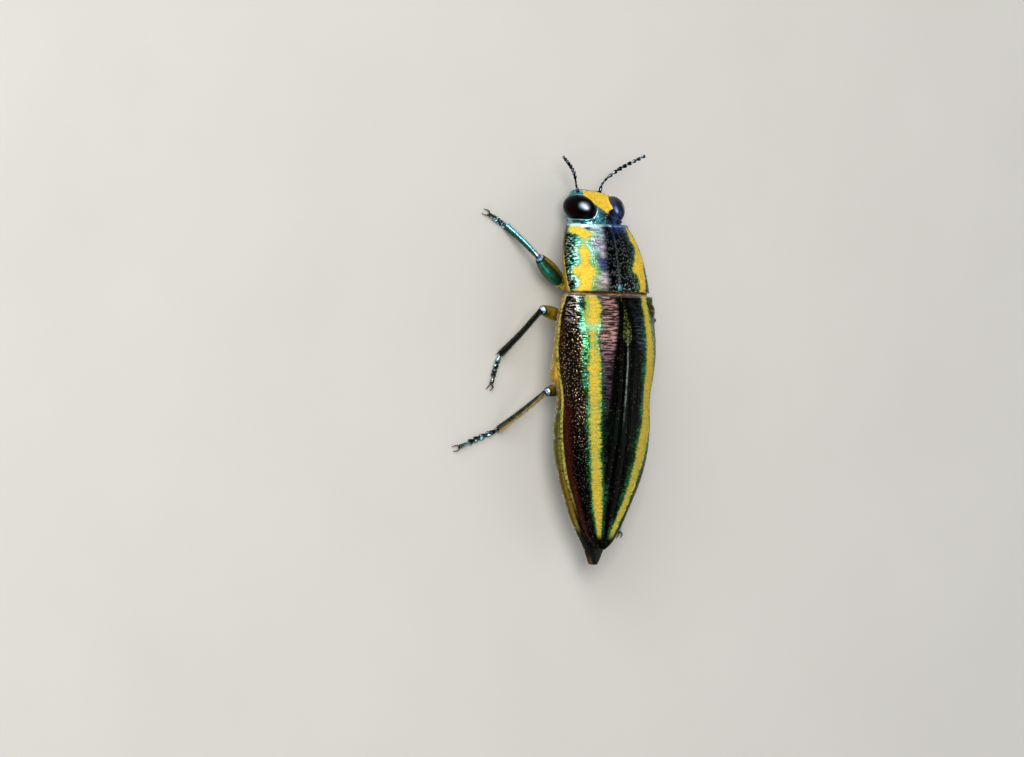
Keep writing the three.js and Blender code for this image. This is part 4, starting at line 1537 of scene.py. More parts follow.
class Finish:
    """A material under construction. A colour may be given as its six hex digits."""

    def __init__(self, name):
        self.material = bpy.data.materials.new(name)
        self.material.use_nodes = True
        self.tree = self.material.node_tree
        self.shader = self.tree.nodes["Principled BSDF"]

    def feed(self, socket, value):
        """Links a socket, or sets it."""
        if isinstance(value, Socket):
            self.tree.links.new(value.output, socket)
            return
        if isinstance(value, str):
            value = linear(value)
        if isinstance(value, tuple) and len(socket.default_value) == 4:
            value = (*value, 1)
        socket.default_value = value

    def node(self, kind, settings=(), inputs=(), output=0, points=()):
        """Any node: its settings first, then the values or links of its sockets."""
        made = self.tree.nodes.new("ShaderNode" + kind)
        for key, value in dict(settings).items():
            setattr(made, key, value)
        if points:
            line = made.mapping.curves[0]
            for at, value in points[1:-1]:
                line.points.new(at, value)
            line.points[0].location = points[0]
            line.points[-1].location = points[-1]
            made.mapping.update()
        for key, value in dict(inputs).items():
            self.feed(made.inputs[key], value)
        return Socket(self, made.outputs[output])

    def math(self, operation, first, second=0.0):
        """A sum of two numbers, of which either may be a socket."""
        return self.node("Math", {"operation": operation}, {0: first, 1: second})

    def vector(self, operation, first, second):
        """A sum of two vectors, or of a vector and a number for SCALE."""
        key = 3 if operation == "SCALE" else 1
        return self.node("VectorMath", {"operation": operation}, {0: first, key: second})

    def place(self):
        """Where a point lies on the bench, in millimetres."""
        here = self.node("TexCoord", output="Object")
        return self.vector("SCALE", self.vector("SUBTRACT", here, tuple(SHIFT)), 1 / MM)

    def parts(self, vector):
        """The three numbers of a vector."""
        return [self.node("SeparateXYZ", (), {0: vector}, output) for output in range(3)]

    def pattern(self):
        """The two numbers of the UV map that the markings follow."""
        across, along, _ = self.parts(self.node("UVMap", {"uv_map": "Pattern"}))
        return across, along

    def value(self, name):
        """A number that keep_values stored."""
        return self.node("Attribute", {"attribute_name": name}, output="Fac")

    def noise(self, vector, scale, detail=3.0, roughness=0.55):
        """A soft cloud from 0 to 1, scale of its grains in a unit of the vector."""
        return self.node(
            "TexNoise", {}, {"Vector": vector, "Scale": scale, "Detail": detail, "Roughness": roughness},
        )

    def cells(self, vector, scale, output="Distance"):
        """How far the nearest of many scattered points is, or the colour of its cell."""
        return self.node("TexVoronoi", {}, {"Vector": vector, "Scale": scale}, output)

    def step(self, value, low, high):
        """Rises smoothly from 0 at low to 1 at high."""
        return self.node(
            "MapRange", {"interpolation_type": "SMOOTHSTEP"},
            {"Value": value, "From Min": low, "From Max": high, "To Min": 0.0, "To Max": 1.0},
        )

    def clouds(self, vector, scale, low, high, detail=3.0):
        """Patches of 1 on 0, with edges as soft as low and high are far apart."""
        return self.step(self.noise(vector, scale, detail), low, high)

    def band(self, value, centre, half, soft):
        """1 within half of the centre, fading to 0 over soft."""
        return 1 - self.step(abs(value - centre), half - soft, half + soft)

    def mix(self, under, over, share):
        """One colour laid over another, by a share."""
        return self.node("Mix", {"data_type": "RGBA"}, {0: share, 6: under, 7: over}, output=2)

    def layers(self, base, *laid):
        """A base with colours laid over it one after the other, each given with its share."""
        for over, share in laid:
            base = self.mix(base, over, share)
        return base

    def line(self, value, points):
        """A curve through points, read at value."""
        return self.node("FloatCurve", {}, {"Value": value}, points=points)

    def done(self, colour, roughness=0.4, metallic=0.0, coat=0.0, bump=None, strength=0.3, distance=0.03):
        """Wires the surface and gives back the material; heights of the bump are in millimetres."""
        self.feed(self.shader.inputs["Base Color"], colour)
        self.feed(self.shader.inputs["Roughness"], roughness)
        self.feed(self.shader.inputs["Metallic"], metallic)
        self.feed(self.shader.inputs["Coat Weight"], coat)
        self.shader.inputs["Coat Roughness"].default_value = 0.12
        if bump:
            relief = self.node("Bump", {}, {"Strength": strength, "Distance": distance * MM, "Height": bump})
            self.feed(self.shader.inputs["Normal"], relief)
        return self.material


def colour(name):
    """A colour setting of the scene."""
    return tuple(getattr(bpy.context.scene.beetle_colours, name))


def powder(shade, at, lime):
    """The powdery yellow of the markings, in grains that turn to lime where lime is 1."""
    grains = shade.noise(at, 9.0, 3.0, 0.65)
    base = shade.mix(colour("powder_dark"), colour("powder"), shade.step(grains, 0.3, 0.5))
    base = shade.mix(base, colour("powder_light"), shade.step(grains, 0.5, 0.68))
    base = shade.mix(base, "D08A1A", shade.clouds(at, 2.2, 0.56, 0.68, 2.0) * 0.45)
    green = shade.mix("8C9A30", "B4C05A", shade.step(grains, 0.4, 0.6))
    return shade.mix(base, green, lime)


def specks(shade, at, scale, radius, share):
    """Small bright specks scattered at random, scale of them in a millimetre."""
    chosen = shade.step(shade.parts(shade.cells(at, scale, "Color"))[0], 1 - share, 1.05 - share)
    return shade.step(shade.cells(at, scale), radius, radius * 0.6) * chosen


def streaks(shade, at, across, along, low=0.45, high=0.6):
    """Fine bright folds that run across the body."""
    folds = shade.noise(shade.vector("MULTIPLY", at, (across, along, across)), 1.0, 3.0, 0.6)
    return shade.step(folds, low, high)


def case_finish(side_name):
    """Black with a yellow stripe, green fringes, a painted violet sheen near the base on the left, and
    maroon side.
    """
    shade = Finish("wing_case_" + side_name)
    left = 1.0 if side_name == "left" else 0.0
    across, v = shade.pattern()
    u = across / TURN_UNDER
    at = shade.place()
    _, y, _ = shade.parts(at)
    edges = STRIPE_EDGES[side_name]
    inner, outer = shade.line(v, edges["inner"]), shade.line(v, edges["outer"])
    ragged = shade.noise(shade.vector("MULTIPLY", at, (1.6, 8.0, 1.6)), 1.0, 3.0, 0.65) - 0.5
    broad = shade.noise(at, 1.1, 2.0) - 0.5
    middle, half = (inner + outer) * 0.5, (outer - inner) * 0.5
    off = abs(u - middle) - half + ragged * 0.17 + broad * 0.05
    ends = shade.step(v, 0.965, 0.93)
    stripe = shade.step(off, 0.012, -0.02) * ends
    halo = shade.step(off, 0.03, 0.0) * ends
    dashes = shade.step(ragged, -0.06, 0.03)
    patches = shade.clouds(at, 0.5, 0.4, 0.6, 2.0)
    reach = 0.09 + 0.05 * patches
    fringe = shade.step(off / reach, 1.0, 0.2) * ends * dashes * (0.45 + 0.55 * patches)
    tone = shade.mix("3C8A42", "62C4A0", shade.clouds(at, 1.2, 0.42, 0.6))
    tone = shade.mix(tone, "1F5A34", shade.step(u, inner + 0.01, inner - 0.01) * 0.6)
    tone = shade.mix(tone, "24602C", shade.step(v, 0.4, 0.62) * (0.5 + 0.4 * (1 - left)))
    # Folds of painted pink-violet sheen near the base beside the suture, on the left wing case only; the
    # right one gets a painted blue-grey sheen there.
    start = shade.line(v, ((0, 0.06), (0.18, 0.14), (0.34, 0.19), (1, 0.2)))
    zone = shade.step(u - start, -0.02, 0.04) * shade.step(u - inner, 0.0, -0.03) * shade.step(v, 0.58, 0.14)
    folds = streaks(shade, at, 1.1, 6.5, 0.44, 0.58)
    violet_sheen_tone = shade.mix("DCA8A0", "8C6C84", shade.step(v, 0.12, 0.3))
    violet_sheen = zone * (0.12 + 0.88 * folds) * left
    sheen = zone * folds * (1 - left) * shade.band(v, 0.14, 0.08, 0.05) * 0.5
    lateral = shade.step(u, outer + 0.02, outer + 0.12) * shade.step(u, 0.975, 0.93)
    maroon = shade.step(u, 0.7, 0.82) * shade.step(u, 0.985, 0.95) * shade.band(y, 7.4, 5.2, 1.6)
    maroon = maroon + shade.band(u, 0.9, 0.06, 0.03) * shade.band(y, -3.6, 1.4, 0.8) * 0.6
    # Painted glints: bright specks along the side of the wing case, densest towards the front, and sparse
    # fine ones all over.
    dense = shade.line(v, (
        (0, 0.06), (0.1, 0.25), (0.2, 0.75), (0.34, 0.8), (0.44, 0.5), (0.55, 0.3), (0.7, 0.15), (1, 0.06),
    ))
    grain = specks(shade, at, 6.2, 0.4, 0.75) * lateral * dense * (1 - 0.75 * maroon)
    grain = grain + specks(shade, at, 5.0, 0.32, 0.3) * 0.15
    # Painted pale glints near the base of each wing case, and a painted teal-silver glint patch at the left
    # shoulder.
    glints = shade.step(u, 0.6, 0.66) * shade.step(u, 0.9, 0.82) * shade.band(v, 0.06, 0.04, 0.03)
    teal_glint_patch = shade.band(u, 0.58, 0.09, 0.04) * shade.band(v, 0.04, 0.035, 0.015) * left
    fine = streaks(shade, at, 2.2, 7.0, 0.48, 0.58)
    wide = shade.line(v, ((0, 0.012), (0.06, 0.014), (0.17, 0.05), (0.2, 0.0), (1, 0.0)))
    dust = shade.step(u - wide, 0.012, -0.008) * shade.band(v, 0.115, 0.075, 0.03)
    dust = dust * streaks(shade, at, 6.0, 6.0, 0.44, 0.6)
    thread = shade.step(u, 0.011, 0.006) * shade.step(v, 0.55, 0.34) * shade.step(v, 0.1, 0.17)
    thread = thread * (0.35 + 0.65 * shade.clouds(at, 2.0, 0.4, 0.55))
    rim = shade.step(u, 0.95, 0.975) * shade.step(v, 0.9, 0.7)
    beads = shade.clouds(at, 4.5, 0.38, 0.52, 2.0)
    ground = shade.clouds(at, 0.35, 0.45, 0.65, 1.0) * shade.step(u, outer, inner)
    base = shade.mix("0B0A08", "0C130D", ground)
    base = shade.layers(
        base,
        ("261C14", lateral * shade.band(v, 0.32, 0.12, 0.1)),
        ("4A5A68", sheen),
        (violet_sheen_tone, violet_sheen),
        (shade.mix("2A100C", colour("maroon"), shade.noise(at, 2.2)), maroon),
        # Painted gold and pink glints.
        (shade.mix("B8A468", "CCAC9C", shade.noise(at, 1.5)), grain),
        ("D8C4BC", glints * fine * 0.9),
        ("5C9482", teal_glint_patch * (0.1 + 0.7 * fine)),
        ("98A444", dust * 0.7),
        ("A8B4A4", thread * 0.5),
        (colour("lime"), rim * (0.25 + 0.75 * beads)),
        (tone, fringe),
    )
    shoulder = shade.band(u, 0.66, 0.13, 0.02) * shade.step(v, 0.06, 0.05)
    frame_line = shade.band(u, 0.66, 0.14, 0.015) * shade.step(v, 0.066, 0.056) * (1 - shoulder)
    base = shade.layers(
        base,
        ("3A4A24", shoulder * (1 - left) * 0.8),
        ("B0A848", frame_line * (1 - left) * 0.8),
        ("5A7A34", halo * (0.5 + 0.5 * dashes)),
    )
    crossing = shade.band(v + 0.05 * ragged, 0.127, 0.012, 0.012) * left * shade.step(off, 0.12, 0.06)
    lime = shade.step(off, -0.045, 0.0) * (0.4 + 0.6 * patches) + crossing
    lime = lime + dashes * shade.step(off, -0.12, -0.03) * 0.4
    lime = lime + shade.step(v, 0.4, 0.75) * 0.25 * (1 - left) + shade.band(v, 0.55, 0.12, 0.1) * 0.3 * left
    basal = shade.band(v, 0.05, 0.06, 0.04) * shade.step(u - middle, -0.02, 0.07) * left
    lime = lime + basal * (0.4 + 0.5 * dashes)
    thin = streaks(shade, at, 1.6, 9.0, 0.55, 0.64) * shade.step(v, 0.15, 0.45)
    yellow = shade.mix(powder(shade, at, lime), "747420", 0.26 + 0.06 * shade.step(v, 0.1, 0.5))
    yellow = shade.mix(yellow, "3E5A1E", thin * (0.45 - 0.1 * (1 - left)))
    base = shade.layers(
        base,
        (yellow, stripe),
        ("8CE0BC", crossing * (0.25 + 0.75 * fine)),
        ("94A4AC", shade.step(v, 0.01, 0.005) * (0.75 - 0.6 * stripe)),
    )
    matt = shade.step(off, 0.02, -0.01) * ends
    satin = shade.math("MAXIMUM", violet_sheen, rim) * (1 - matt)
    bump = shade.noise(at, 9.0, 3.0) + stripe * shade.noise(at, 26.0, 2.0)
    return shade.done(base, 0.3 + 0.45 * matt, 1 - 0.85 * matt - 0.4 * satin, 0.0, bump, 0.35)


def shield_finish():
    """Black middle, a painted silver and violet sheen beside it on the left, golden bands, hammered black
    sides with painted teal glints on the left.
    """
    shade = Finish("thorax_shield")
    across, v = shade.pattern()
    at = shade.place()
    x, _, _ = shade.parts(at)
    u = abs(across * 2.0 - 1.0)
    left = shade.step(x, -0.05, 0.05)
    ragged = shade.noise(shade.vector("MULTIPLY", at, (2.6, 6.0, 2.6)), 1.0, 4.0, 0.7) - 0.5
    edge = {}
    for bound in ("inner", "outer"):
        one, other = (shade.line(v, SHIELD_EDGES[side][bound]) for side in ("left", "right"))
        edge[bound] = one * left + other * (1 - left)
    inner, outer = edge["inner"], edge["outer"]
    middle, half = (inner + outer) * 0.5, (outer - inner) * 0.5
    off = abs(u - middle) - half + ragged * 0.16
    neck = shade.band(v, 0.27, 0.045, 0.03) * left
    band = shade.step(off, 0.02, -0.03)
    fringe = shade.step(off, 0.16, 0.02)
    medial = shade.step(u - middle, 0.0, -0.02)
    beside = shade.band(u, 0.3, 0.12, 0.05) * medial * left
    folds = streaks(shade, at, 1.3, 5.0, 0.42, 0.6)
    fine = streaks(shade, at, 3.2, 6.5, 0.47, 0.58)
    base = shade.mix("0C0F10", "18284A", shade.step(v, 0.35, 0.05) * 0.9)
    # Painted pale glints scattered over the middle.
    grain = specks(shade, at, 5.4, 0.5, 0.85) * shade.step(u, 0.5, 0.3)
    base = shade.mix(base, "9AA098", grain * 0.6)
    # Painted sheen beside the middle, on the left only: silver in front, then lavender, violet blue and
    # pink.
    along = shade.mix("D0E8F0", "D0CCDC", shade.step(v, 0.12, 0.3))
    along = shade.layers(
        along,
        ("8CB8A8", shade.step(v, 0.34, 0.42) * shade.step(u, 0.24, 0.32)),
        ("4C5C98", shade.step(v, 0.46, 0.54) * shade.step(u, 0.36, 0.26)),
        ("F0DCE4", shade.step(v, 0.66, 0.76)),
        ("B8B8A8", shade.step(v, 0.86, 0.95)),
    )
    base = shade.mix(base, along, beside * (0.5 + 0.5 * folds))
    blue = (1 - left) * shade.step(v, 0.16, 0.06) * shade.step(u, 0.4, 0.2)
    base = shade.mix(base, "30508C", blue * 0.8)
    # The hammered sides, black, with painted silver-teal glints on the left side.
    outside = shade.step(u - outer, -0.02, 0.04)
    silver = shade.mix("4FA88C", "B0C8BC", shade.clouds(at, 1.6, 0.4, 0.6))
    base = shade.mix(base, "080B09", outside)
    glints = outside * left * fine * (0.8 - 0.3 * shade.step(v, 0.85, 1.0)) * shade.step(u, 1.0, 0.8)
    corner = outside * (1 - left) * specks(shade, at, 6.0, 0.45, 0.7) * shade.step(v, 0.7, 0.8)
    base = shade.mix(base, silver, glints)
    base = shade.mix(base, "8CA060", corner * 0.8)
    tone = shade.mix("C4E4B0", "70DCC4", shade.clouds(at, 1.5, 0.4, 0.6))
    tone = shade.mix(tone, "84C04C", shade.step(v, 0.4, 0.6) * medial * 0.9)
    tone = shade.mix(tone, "3E8C6C", outside * 0.45)
    base = shade.mix(base, tone, fringe * (0.2 + 0.6 * folds + 0.2 * medial) * (0.3 + 0.7 * left))
    breaks = shade.clouds(at, 3.0, 0.38, 0.55)
    base = shade.mix(base, "7C9090", shade.step(u, 0.018, 0.008) * (0.15 + 0.4 * breaks))
    rear = shade.step(u, 0.045, 0.01) * shade.band(v, 0.93, 0.04, 0.04)
    base = shade.mix(base, "5CC8C0", rear * (0.3 + 0.7 * breaks))
    lime = shade.step(off, -0.06, 0.0) * 0.75 + neck
    base = shade.mix(base, powder(shade, at, lime), band * (1 - neck * 0.5))
    front = shade.mix("7094D8", "B4E4E8", left)
    base = shade.layers(
        base,
        (front, shade.step(v, 0.045, 0.025) * 0.9),
        ("A8983C", shade.step(v, 0.965, 0.985) * fine),
        ("9A8A40", shade.step(u, 0.97, 0.985) * shade.step(v, 0.35, 0.6) * 0.8),
    )
    matt = shade.step(off, 0.03, -0.01)
    satin = beside * (0.5 + 0.5 * folds) * (1 - matt)
    bump = shade.noise(at, 10.0, 3.0) + band * shade.noise(at, 24.0, 2.0)
    return shade.done(base, 0.28 + 0.45 * matt + 0.1 * satin, 1 - 0.85 * matt - 0.55 * satin, 0.0, bump, 0.4)


def head_finish():
    """Golden brow, teal cheeks, blue crown."""
    shade = Finish("head_shell")
    at = shade.place()
    x, y, z = shade.parts(at)
    ragged = shade.noise(at, 3.5, 4.0, 0.7) - 0.5
    t = (y - HEAD_FRONT) * (1 / 2.0)
    left = shade.step(x, -0.1, 0.5)
    wide = shade.line(t, (
        (0, 0.4), (0.12, 0.55), (0.3, 0.66), (0.45, 0.6), (0.6, 0.5), (0.76, 0.3), (0.88, 0.06), (1, 0),
    ))
    beyond = abs(x) * 0.5 - wide + 0.15 * left - 0.09 + ragged * 0.16
    brow = shade.step(beyond, 0.012, -0.012) * shade.step(z, -2.3, -2.05) * shade.step(y, -13.0, -13.25)
    pits = shade.value("pits")
    fine = streaks(shade, at, 4.0, 5.0, 0.44, 0.6)
    crown = shade.mix("10161E", "34486E", shade.clouds(at, 1.6, 0.42, 0.62))
    cheek = shade.mix("388490", "90D0DC", shade.clouds(at, 2.0, 0.4, 0.62, 3.0))
    base = shade.mix(crown, cheek, left)
    # Beside the left eye a painted highlight along its rim, and inside it painted shade in the hollow up to
    # the brow.
    slant = (0.616 * z - 0.788 * x + 2.0) * 0.5
    path = slant - shade.line((y - HEAD_FRONT) * (1 / 2.6), (
        (0, 0), (0.177, 0.055), (0.346, 0.34), (0.515, 0.505), (0.64, 0.525), (0.885, 0.39), (1, 0.3),
    ))
    base = shade.mix(base, "12181C", shade.band(path, 0.22, 0.05, 0.03) * shade.step(y, -13.3, -13.7))
    base = shade.mix(base, "E4F4F8", shade.band(path, 0.14, 0.025, 0.02) * (0.4 + 0.6 * fine))
    # Painted shade in the cleft of the crown.
    cleft = shade.step(abs(x), 0.16, 0.04) * shade.step(y, -13.5, -13.2)
    base = shade.mix(base, "161E22", cleft * 0.7)
    gold = specks(shade, at, 5.0, 0.4, 0.6) * shade.step(abs(x), 0.42, 0.25) * shade.step(y, -13.7, -13.3)
    base = shade.layers(
        base,
        ("C8B050", gold * 0.9),
        # Painted shade in the pits.
        ("0C1616", shade.step(pits, 0.3, 0.8) * 0.6),
        (powder(shade, at, shade.step(beyond, -0.05, 0.0)), brow),
    )
    bump = shade.noise(at, 10.0, 3.0) + brow * shade.noise(at, 22.0, 2.0)
    return shade.done(base, 0.3 + 0.42 * brow, 1 - 0.85 * brow, 0.0, bump, 0.4)


def eye_finish():
    """Polished black with a painted pale highlight above, a painted indigo sheen inside the right eye and
    very fine facets.
    """
    shade = Finish("eye")
    at = shade.place()
    x, y, z = shade.parts(at)
    # A painted pale highlight on the upper part of each eye.
    aside, ahead, above = abs(x) - 2.24, (y + 13.7) * 1.3, z - 0.02
    painted_highlight = shade.step(aside * aside + ahead * ahead + above * above, 0.75, 0.0)
    base = shade.mix("130B08", "120E16", shade.clouds(at, 0.7, 0.42, 0.6, 1.0))
    # A painted indigo sheen on the inner part of the right eye only.
    base = shade.mix(base, "4C5880", shade.band(x, -1.15, 0.3, 0.3) * 0.8)
    base = shade.mix(base, "8C94A4", painted_highlight * painted_highlight)
    return shade.done(base, 0.34, 1.0, 0.0, shade.cells(at, 26.0), 0.04, 0.01)


def feeler_finish():
    """Dark metal with painted pale highlights, in clouds scattered at random."""
    shade = Finish("feeler")
    at = shade.place()
    base = shade.mix("0E1012", "7A8A94", shade.clouds(at, 3.0, 0.48, 0.62))
    return shade.done(base, 0.25, 1.0, 0.0, shade.noise(at, 14.0), 0.3)


def mouth_finish():
    """Dark green and brass."""
    shade = Finish("mouthparts")
    at = shade.place()
    base = shade.mix("14241F", "6A5A24", shade.clouds(at, 2.5, 0.45, 0.65))
    return shade.done(base, 0.3, 0.8, 0.2, shade.noise(at, 12.0), 0.3)


def scutellum_finish():
    """Dark with a yellow-green edge."""
    shade = Finish("scutellum")
    at = shade.place()
    x, y, _ = shade.parts(at)
    edge = shade.step(abs(x) + 0.45 * (y - WING_CASE_FRONT), 0.19, 0.23) + shade.step(y, -6.42, -6.46)
    base = shade.mix("141C16", "B0A848", edge * shade.clouds(at, 5.0, 0.35, 0.5))
    return shade.done(base, 0.32, 0.9, 0.0, shade.noise(at, 12.0), 0.3)


def belly_finish():
    """Brassy yellow sides, green and copper below, a dark tip."""
    shade = Finish("underside")
    across, _ = shade.pattern()
    at = shade.place()
    _, y, _ = shade.parts(at)
    u = abs(across * 2.0 - 1.0)
    pits = shade.value("pits")
    cloud = shade.noise(at, 1.1, 3.0)
    side = shade.step(u + (cloud - 0.5) * 0.3, 0.55, 0.72)
    below = shade.mix("2A5A34", "8A5A22", shade.step(cloud, 0.4, 0.62))
    flank = shade.mix("C8963A", "665E20", shade.step(y, 0.5, 3.0))
    flank = shade.mix(flank, "8A641C", shade.step(y, 6.0, 9.0) * 0.7)
    base = shade.mix(below, flank, side)
    base = shade.mix(base, "7E8C2E", side * shade.clouds(at, 2.0, 0.46, 0.62) * 0.7)
    dark_tip = shade.step(y, 12.2, 12.8) * shade.step(u, 0.93, 0.8)
    base = shade.layers(
        base,
        ("0E100A", shade.step(y, 12.2, 13.0) * 0.6),
        ("0B0C08", dark_tip),
        ("0E100A", shade.step(y, 11.9, 12.6) * 0.85),
        ("5C4424", shade.step(y, 14.2, 14.8) * shade.step(u, 0.3, 0.7) * 0.8),
        ("4A3C1C", shade.step(y, -9.0, -10.8) * side * 0.8),
        # Painted shade in the pits.
        ("1C2A18", shade.step(pits, 0.3, 0.9) * 0.45),
        # Painted shade in the gap at the side by the hind hip.
        ("1E1C0C", shade.step(u, 0.9, 0.95) * shade.step(y, 0.8, 2.0) * 0.45),
    )
    return shade.done(base, 0.36 + 0.12 * side, 0.75, 0.0, shade.noise(at, 9.0), 0.35)


def collar_finish():
    """Amber joint skin, orange at the right shoulder, with painted shadow that makes it nearly black in
    front, under the shield's hind edge.
    """
    shade = Finish("collar")
    at = shade.place()
    x, y, _ = shade.parts(at)
    base = shade.mix("6A3A10", "B0702A", shade.clouds(at, 2.5, 0.38, 0.62, 3.0))
    base = shade.mix(base, "D08A48", shade.step(x, -1.5, -3.0) * 0.8)
    # Painted shadow under the shield's hind edge.
    base = shade.mix(base, "120A05", shade.step(y, -6.58, -6.66))
    return shade.done(base, 0.4, 0.1, 0.1, shade.noise(at, 9.0), 0.4)


def hip_finish():
    """Brassy yellow with green clouds."""
    shade = Finish("hip")
    at = shade.place()
    base = shade.mix("6E701E", "D0B434", shade.clouds(at, 1.8, 0.36, 0.58, 3.0))
    return shade.done(base, 0.4, 0.7, 0.0, shade.noise(at, 9.0), 0.35)


# For each part of a leg: ground tone, tone of the sheen and where it lies round the limb (0 towards the
# head, 0.25 above), tone of the edge line and where it lies, and how far a yellow root reaches.
LEG_TONES = {
    "thigh_fore": ("36482C", "1C9484", 0.38, "D8CC60", 0.14, 0.16),
    "thigh_mid": ("5A6A24", "B0A83C", 0.25, "E0CC48", 0.12, 0.66),
    "thigh_hind": ("4A5028", "8A8838", 0.25, "C0B040", 0.12, 0.6),
    "shin_fore": ("0C1614", "70C4E0", 0.2, "3C5A2C", 0.42, 0.0),
    "shin_mid": ("12160E", "48502C", 0.3, "3A4020", 0.5, 0.0),
    "shin_hind": ("10160E", "3A4A38", 0.1, "F8C850", 0.31, 0.0),
}


def leg_finish(part, side):
    """Dark green with a metallic sheen above, a bright edge and painted pale blue highlights at the knees.
    """
    shade = Finish(part + ("_left" if side > 0 else "_right"))
    around, along = shade.pattern()
    at = shade.place()
    ground, sheen, sheen_at, edge_tone, edge_at, root = LEG_TONES[part]

    def beside(centre, half, soft):
        """A band along the limb, mirrored on the right."""
        centre = centre if side > 0 else 0.5 - centre
        return shade.band(shade.math("FRACT", around - (centre - 1.5)) - 0.5, 0.0, half, soft)

    cloud = shade.noise(at, 1.6, 3.0)
    shin, blue = part.startswith("shin"), part == "shin_fore"
    reach = 0.17 if blue else 0.06
    patches = 1.0 if blue else 0.25 + 0.75 * shade.step(cloud, 0.4, 0.55)
    base = shade.mix(ground, sheen, beside(sheen_at, reach, 0.06) * patches)
    if blue:
        # A painted pinkish-white highlight near the knee of the fore shin.
        pale = shade.step(along, 0.45, 0.15) * beside(0.2, 0.1, 0.05)
        base = shade.mix(base, "D8D8EC", pale * shade.step(cloud, 0.35, 0.6))
    grains = shade.clouds(at, 5.0, 0.38, 0.5)
    base = shade.mix(base, edge_tone, beside(edge_at, 0.08, 0.035) * (0.55 + 0.45 * grains))
    if root:
        base = shade.mix(base, "D8BC3C", shade.step(along, root + 0.08, root - 0.05) * 0.85)
    ends = shade.step(along, 0.07, 0.02) if shin else shade.step(along, 0.88, 0.94)
    # Painted pale blue highlights at the knees.
    knee = shade.mix("5C9AE0", "C0D0E4", shade.clouds(at, 2.6, 0.42, 0.55))
    ring = shade.band(along, 0.105, 0.02, 0.01) if shin else shade.band(along, 0.86, 0.025, 0.01)
    base = shade.mix(base, "0A0C0C", ring)
    base = shade.mix(base, knee, ends)
    if shin:
        ankle = "7CD0F0" if blue else "161A10"
        base = shade.mix(base, ankle, shade.step(along, 0.93, 0.97) * 0.8)
    return shade.done(base, 0.27, 0.8, 0.0, shade.noise(at, 10.0), 0.35)


def foot_finish():
    """Steel blue with pale clouds."""
    shade = Finish("foot")
    at = shade.place()
    base = shade.mix("18242E", "90BCC0", shade.clouds(at, 2.4, 0.45, 0.62, 3.0))
    base = shade.mix(base, "B8B890", shade.clouds(at, 3.7, 0.56, 0.66) * 0.7)
    return shade.done(base, 0.28, 0.95, 0.0, shade.noise(at, 12.0), 0.3)


def pad_finish():
    """The pale matt soles of the feet."""
    shade = Finish("pad")
    at = shade.place()
    base = shade.mix("A8A284", "DAD6C0", shade.clouds(at, 8.0, 0.4, 0.6))
    return shade.done(base, 0.8, 0.0, 0.0, shade.noise(at, 24.0), 0.5)


def claw_finish():
    """Brown, darker in places."""
    shade = Finish("claw")
    at = shade.place()
    base = shade.mix("1A1410", "5A3A1E", shade.clouds(at, 3.0, 0.4, 0.65))
    return shade.done(base, 0.25, 0.1, 0.5, shade.noise(at, 12.0), 0.2)


def hair_finish(name, code):
    """A plain tone with paler clouds."""
    shade = Finish(name)
    at = shade.place()
    base = shade.mix(code, "8A8878", shade.clouds(at, 1.5, 0.4, 0.7) * 0.4)
    return shade.done(base, 0.45, 0.0, 0.0)


# ---------------------------------------------------------------- floor, light and camera

FLOOR_SIZE = 1.2
SKY_TONE = (0.9, 0.95, 1, 1)
SKY_STRENGTH = 0.22
# The soft lamps: place, width of the lit face, power in watts and tone.
LAMPS = {
    "key": ((0.19, -0.08, 0.35), 0.18, 1.0, (1, 0.97, 0.92)),
    "window": ((0.25, -0.21, 0.23), 0.28, 1.0, (0.94, 0.97, 1)),
    "fill": ((-0.28, 0.05, 0.24), 0.26, 0.24, (0.9, 0.95, 1)),
    "rear": ((0.12, 0.3, 0.2), 0.2, 0.18, (1, 1, 1)),
}
# The camera's frame in pixels: its width, its middle, and where the bench's origin stands on it.
PICTURE_WIDTH = 1024
PICTURE_MIDDLE = (512, 378.5)
ORIGIN_IN_PICTURE = (603.2, 376.75)
SENSOR_WIDTH = 36


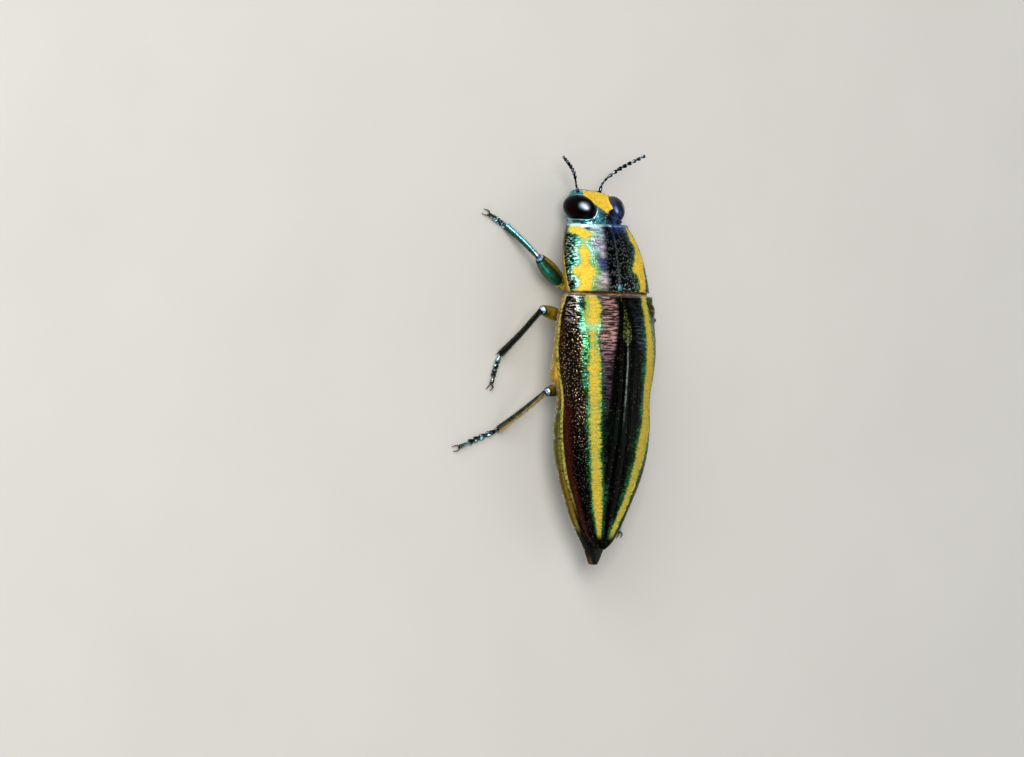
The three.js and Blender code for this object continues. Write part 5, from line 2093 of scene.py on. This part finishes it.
class BEETLE_OT_stage(Operator):
    """Lays the pale floor and sets the soft lights and the camera"""

    bl_idname = "beetle.stage"
    bl_label = "Stage"

    def execute(self, context):
        clear_bench()
        bpy.ops.mesh.primitive_plane_add(size=FLOOR_SIZE, location=(0, 0, 0))
        floor = new_piece("floor")
        shade = Finish("floor")
        at = shade.node("TexCoord", output="Object")
        paper = shade.mix("D0CDC6", "C8C5BE", shade.noise(at, 60.0))
        floor.data.materials.append(shade.done(paper, 0.85))
        world = bpy.data.worlds.new("studio")
        context.scene.world = world
        world.use_nodes = True
        sky = world.node_tree.nodes["Background"].inputs
        sky["Color"].default_value = SKY_TONE
        sky["Strength"].default_value = SKY_STRENGTH
        for name, (place, size, power, tone) in LAMPS.items():
            self.lamp(name, place, size, power, tone)
        context.scene.view_settings.view_transform = "Standard"
        self.camera(context)
        return {"FINISHED"}

    def lamp(self, name, place, size, power, tone):
        """A square soft lamp that faces the middle of the floor."""
        bpy.ops.object.light_add(type="AREA", location=place)
        lamp = bpy.context.object
        lamp.name = name
        lamp.data.size = size
        lamp.data.energy = power
        lamp.data.color = tone
        lamp.rotation_euler = (-Vector(place)).to_track_quat("-Z", "Y").to_euler()

    def camera(self, context):
        """The camera above the beetle's left side, its picture's top towards the head."""
        stage = context.scene.beetle_stage
        lean, roll, pixel = stage.camera_lean, stage.camera_roll, stage.field / PICTURE_WIDTH
        back = Vector((math.sin(lean), 0, math.cos(lean)))
        right, up = Vector((-math.cos(lean), 0, math.sin(lean))), Vector((0, -1, 0))
        right, up = (
            right * math.cos(roll) + up * math.sin(roll), up * math.cos(roll) - right * math.sin(roll),
        )
        # The bench's origin stands right of the picture's middle and a little above it.
        aside, above = (a - b for a, b in zip(ORIGIN_IN_PICTURE, PICTURE_MIDDLE))
        target = SHIFT - right * aside * pixel + up * above * pixel
        bpy.ops.object.camera_add(location=target + back * stage.camera_distance)
        camera = bpy.context.object
        camera.rotation_euler = Matrix((right, up, back)).transposed().to_euler()
        camera.data.sensor_width = SENSOR_WIDTH
        camera.data.lens = SENSOR_WIDTH * stage.camera_distance / stage.field
        camera.data.clip_start, camera.data.clip_end = 0.01, 20
        context.scene.camera = camera


class BEETLE_PT_panel(Panel):
    """Lists the steps that build the beetle"""

    bl_idname = "BEETLE_PT_panel"
    bl_label = "Jewel beetle"
    bl_space_type = "VIEW_3D"
    bl_region_type = "UI"
    bl_category = "Beetle"

    def draw(self, context):
        for step in STEPS:
            self.layout.operator(step.bl_idname)
        for group, kind in SETTINGS.items():
            box = self.layout.box()
            for name in kind.__annotations__:
                box.prop(getattr(context.scene, group), name)


STEPS = (
    BEETLE_OT_head, BEETLE_OT_eyes, BEETLE_OT_feelers, BEETLE_OT_mouthparts, BEETLE_OT_shield,
    BEETLE_OT_wing_cases, BEETLE_OT_underside, BEETLE_OT_collar, BEETLE_OT_thighs, BEETLE_OT_feet,
    BEETLE_OT_hairs, BEETLE_OT_stage,
)


def register():
    """Makes the settings, the steps and the panel known."""
    for kind in (*SETTINGS.values(), *STEPS, BEETLE_PT_panel):
        bpy.utils.register_class(kind)
    for group, kind in SETTINGS.items():
        setattr(bpy.types.Scene, group, PointerProperty(type=kind))


def unregister():
    """Takes them back."""
    for group in SETTINGS:
        delattr(bpy.types.Scene, group)
    for kind in (BEETLE_PT_panel, *reversed(STEPS), *SETTINGS.values()):
        bpy.utils.unregister_class(kind)


def main():
    """Builds the beetle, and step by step."""
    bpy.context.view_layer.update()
    register()
    for step in STEPS:
        area, name = step.bl_idname.split(".")
        getattr(getattr(bpy.ops, area), name)()


if __name__ == "__main__":
    main()
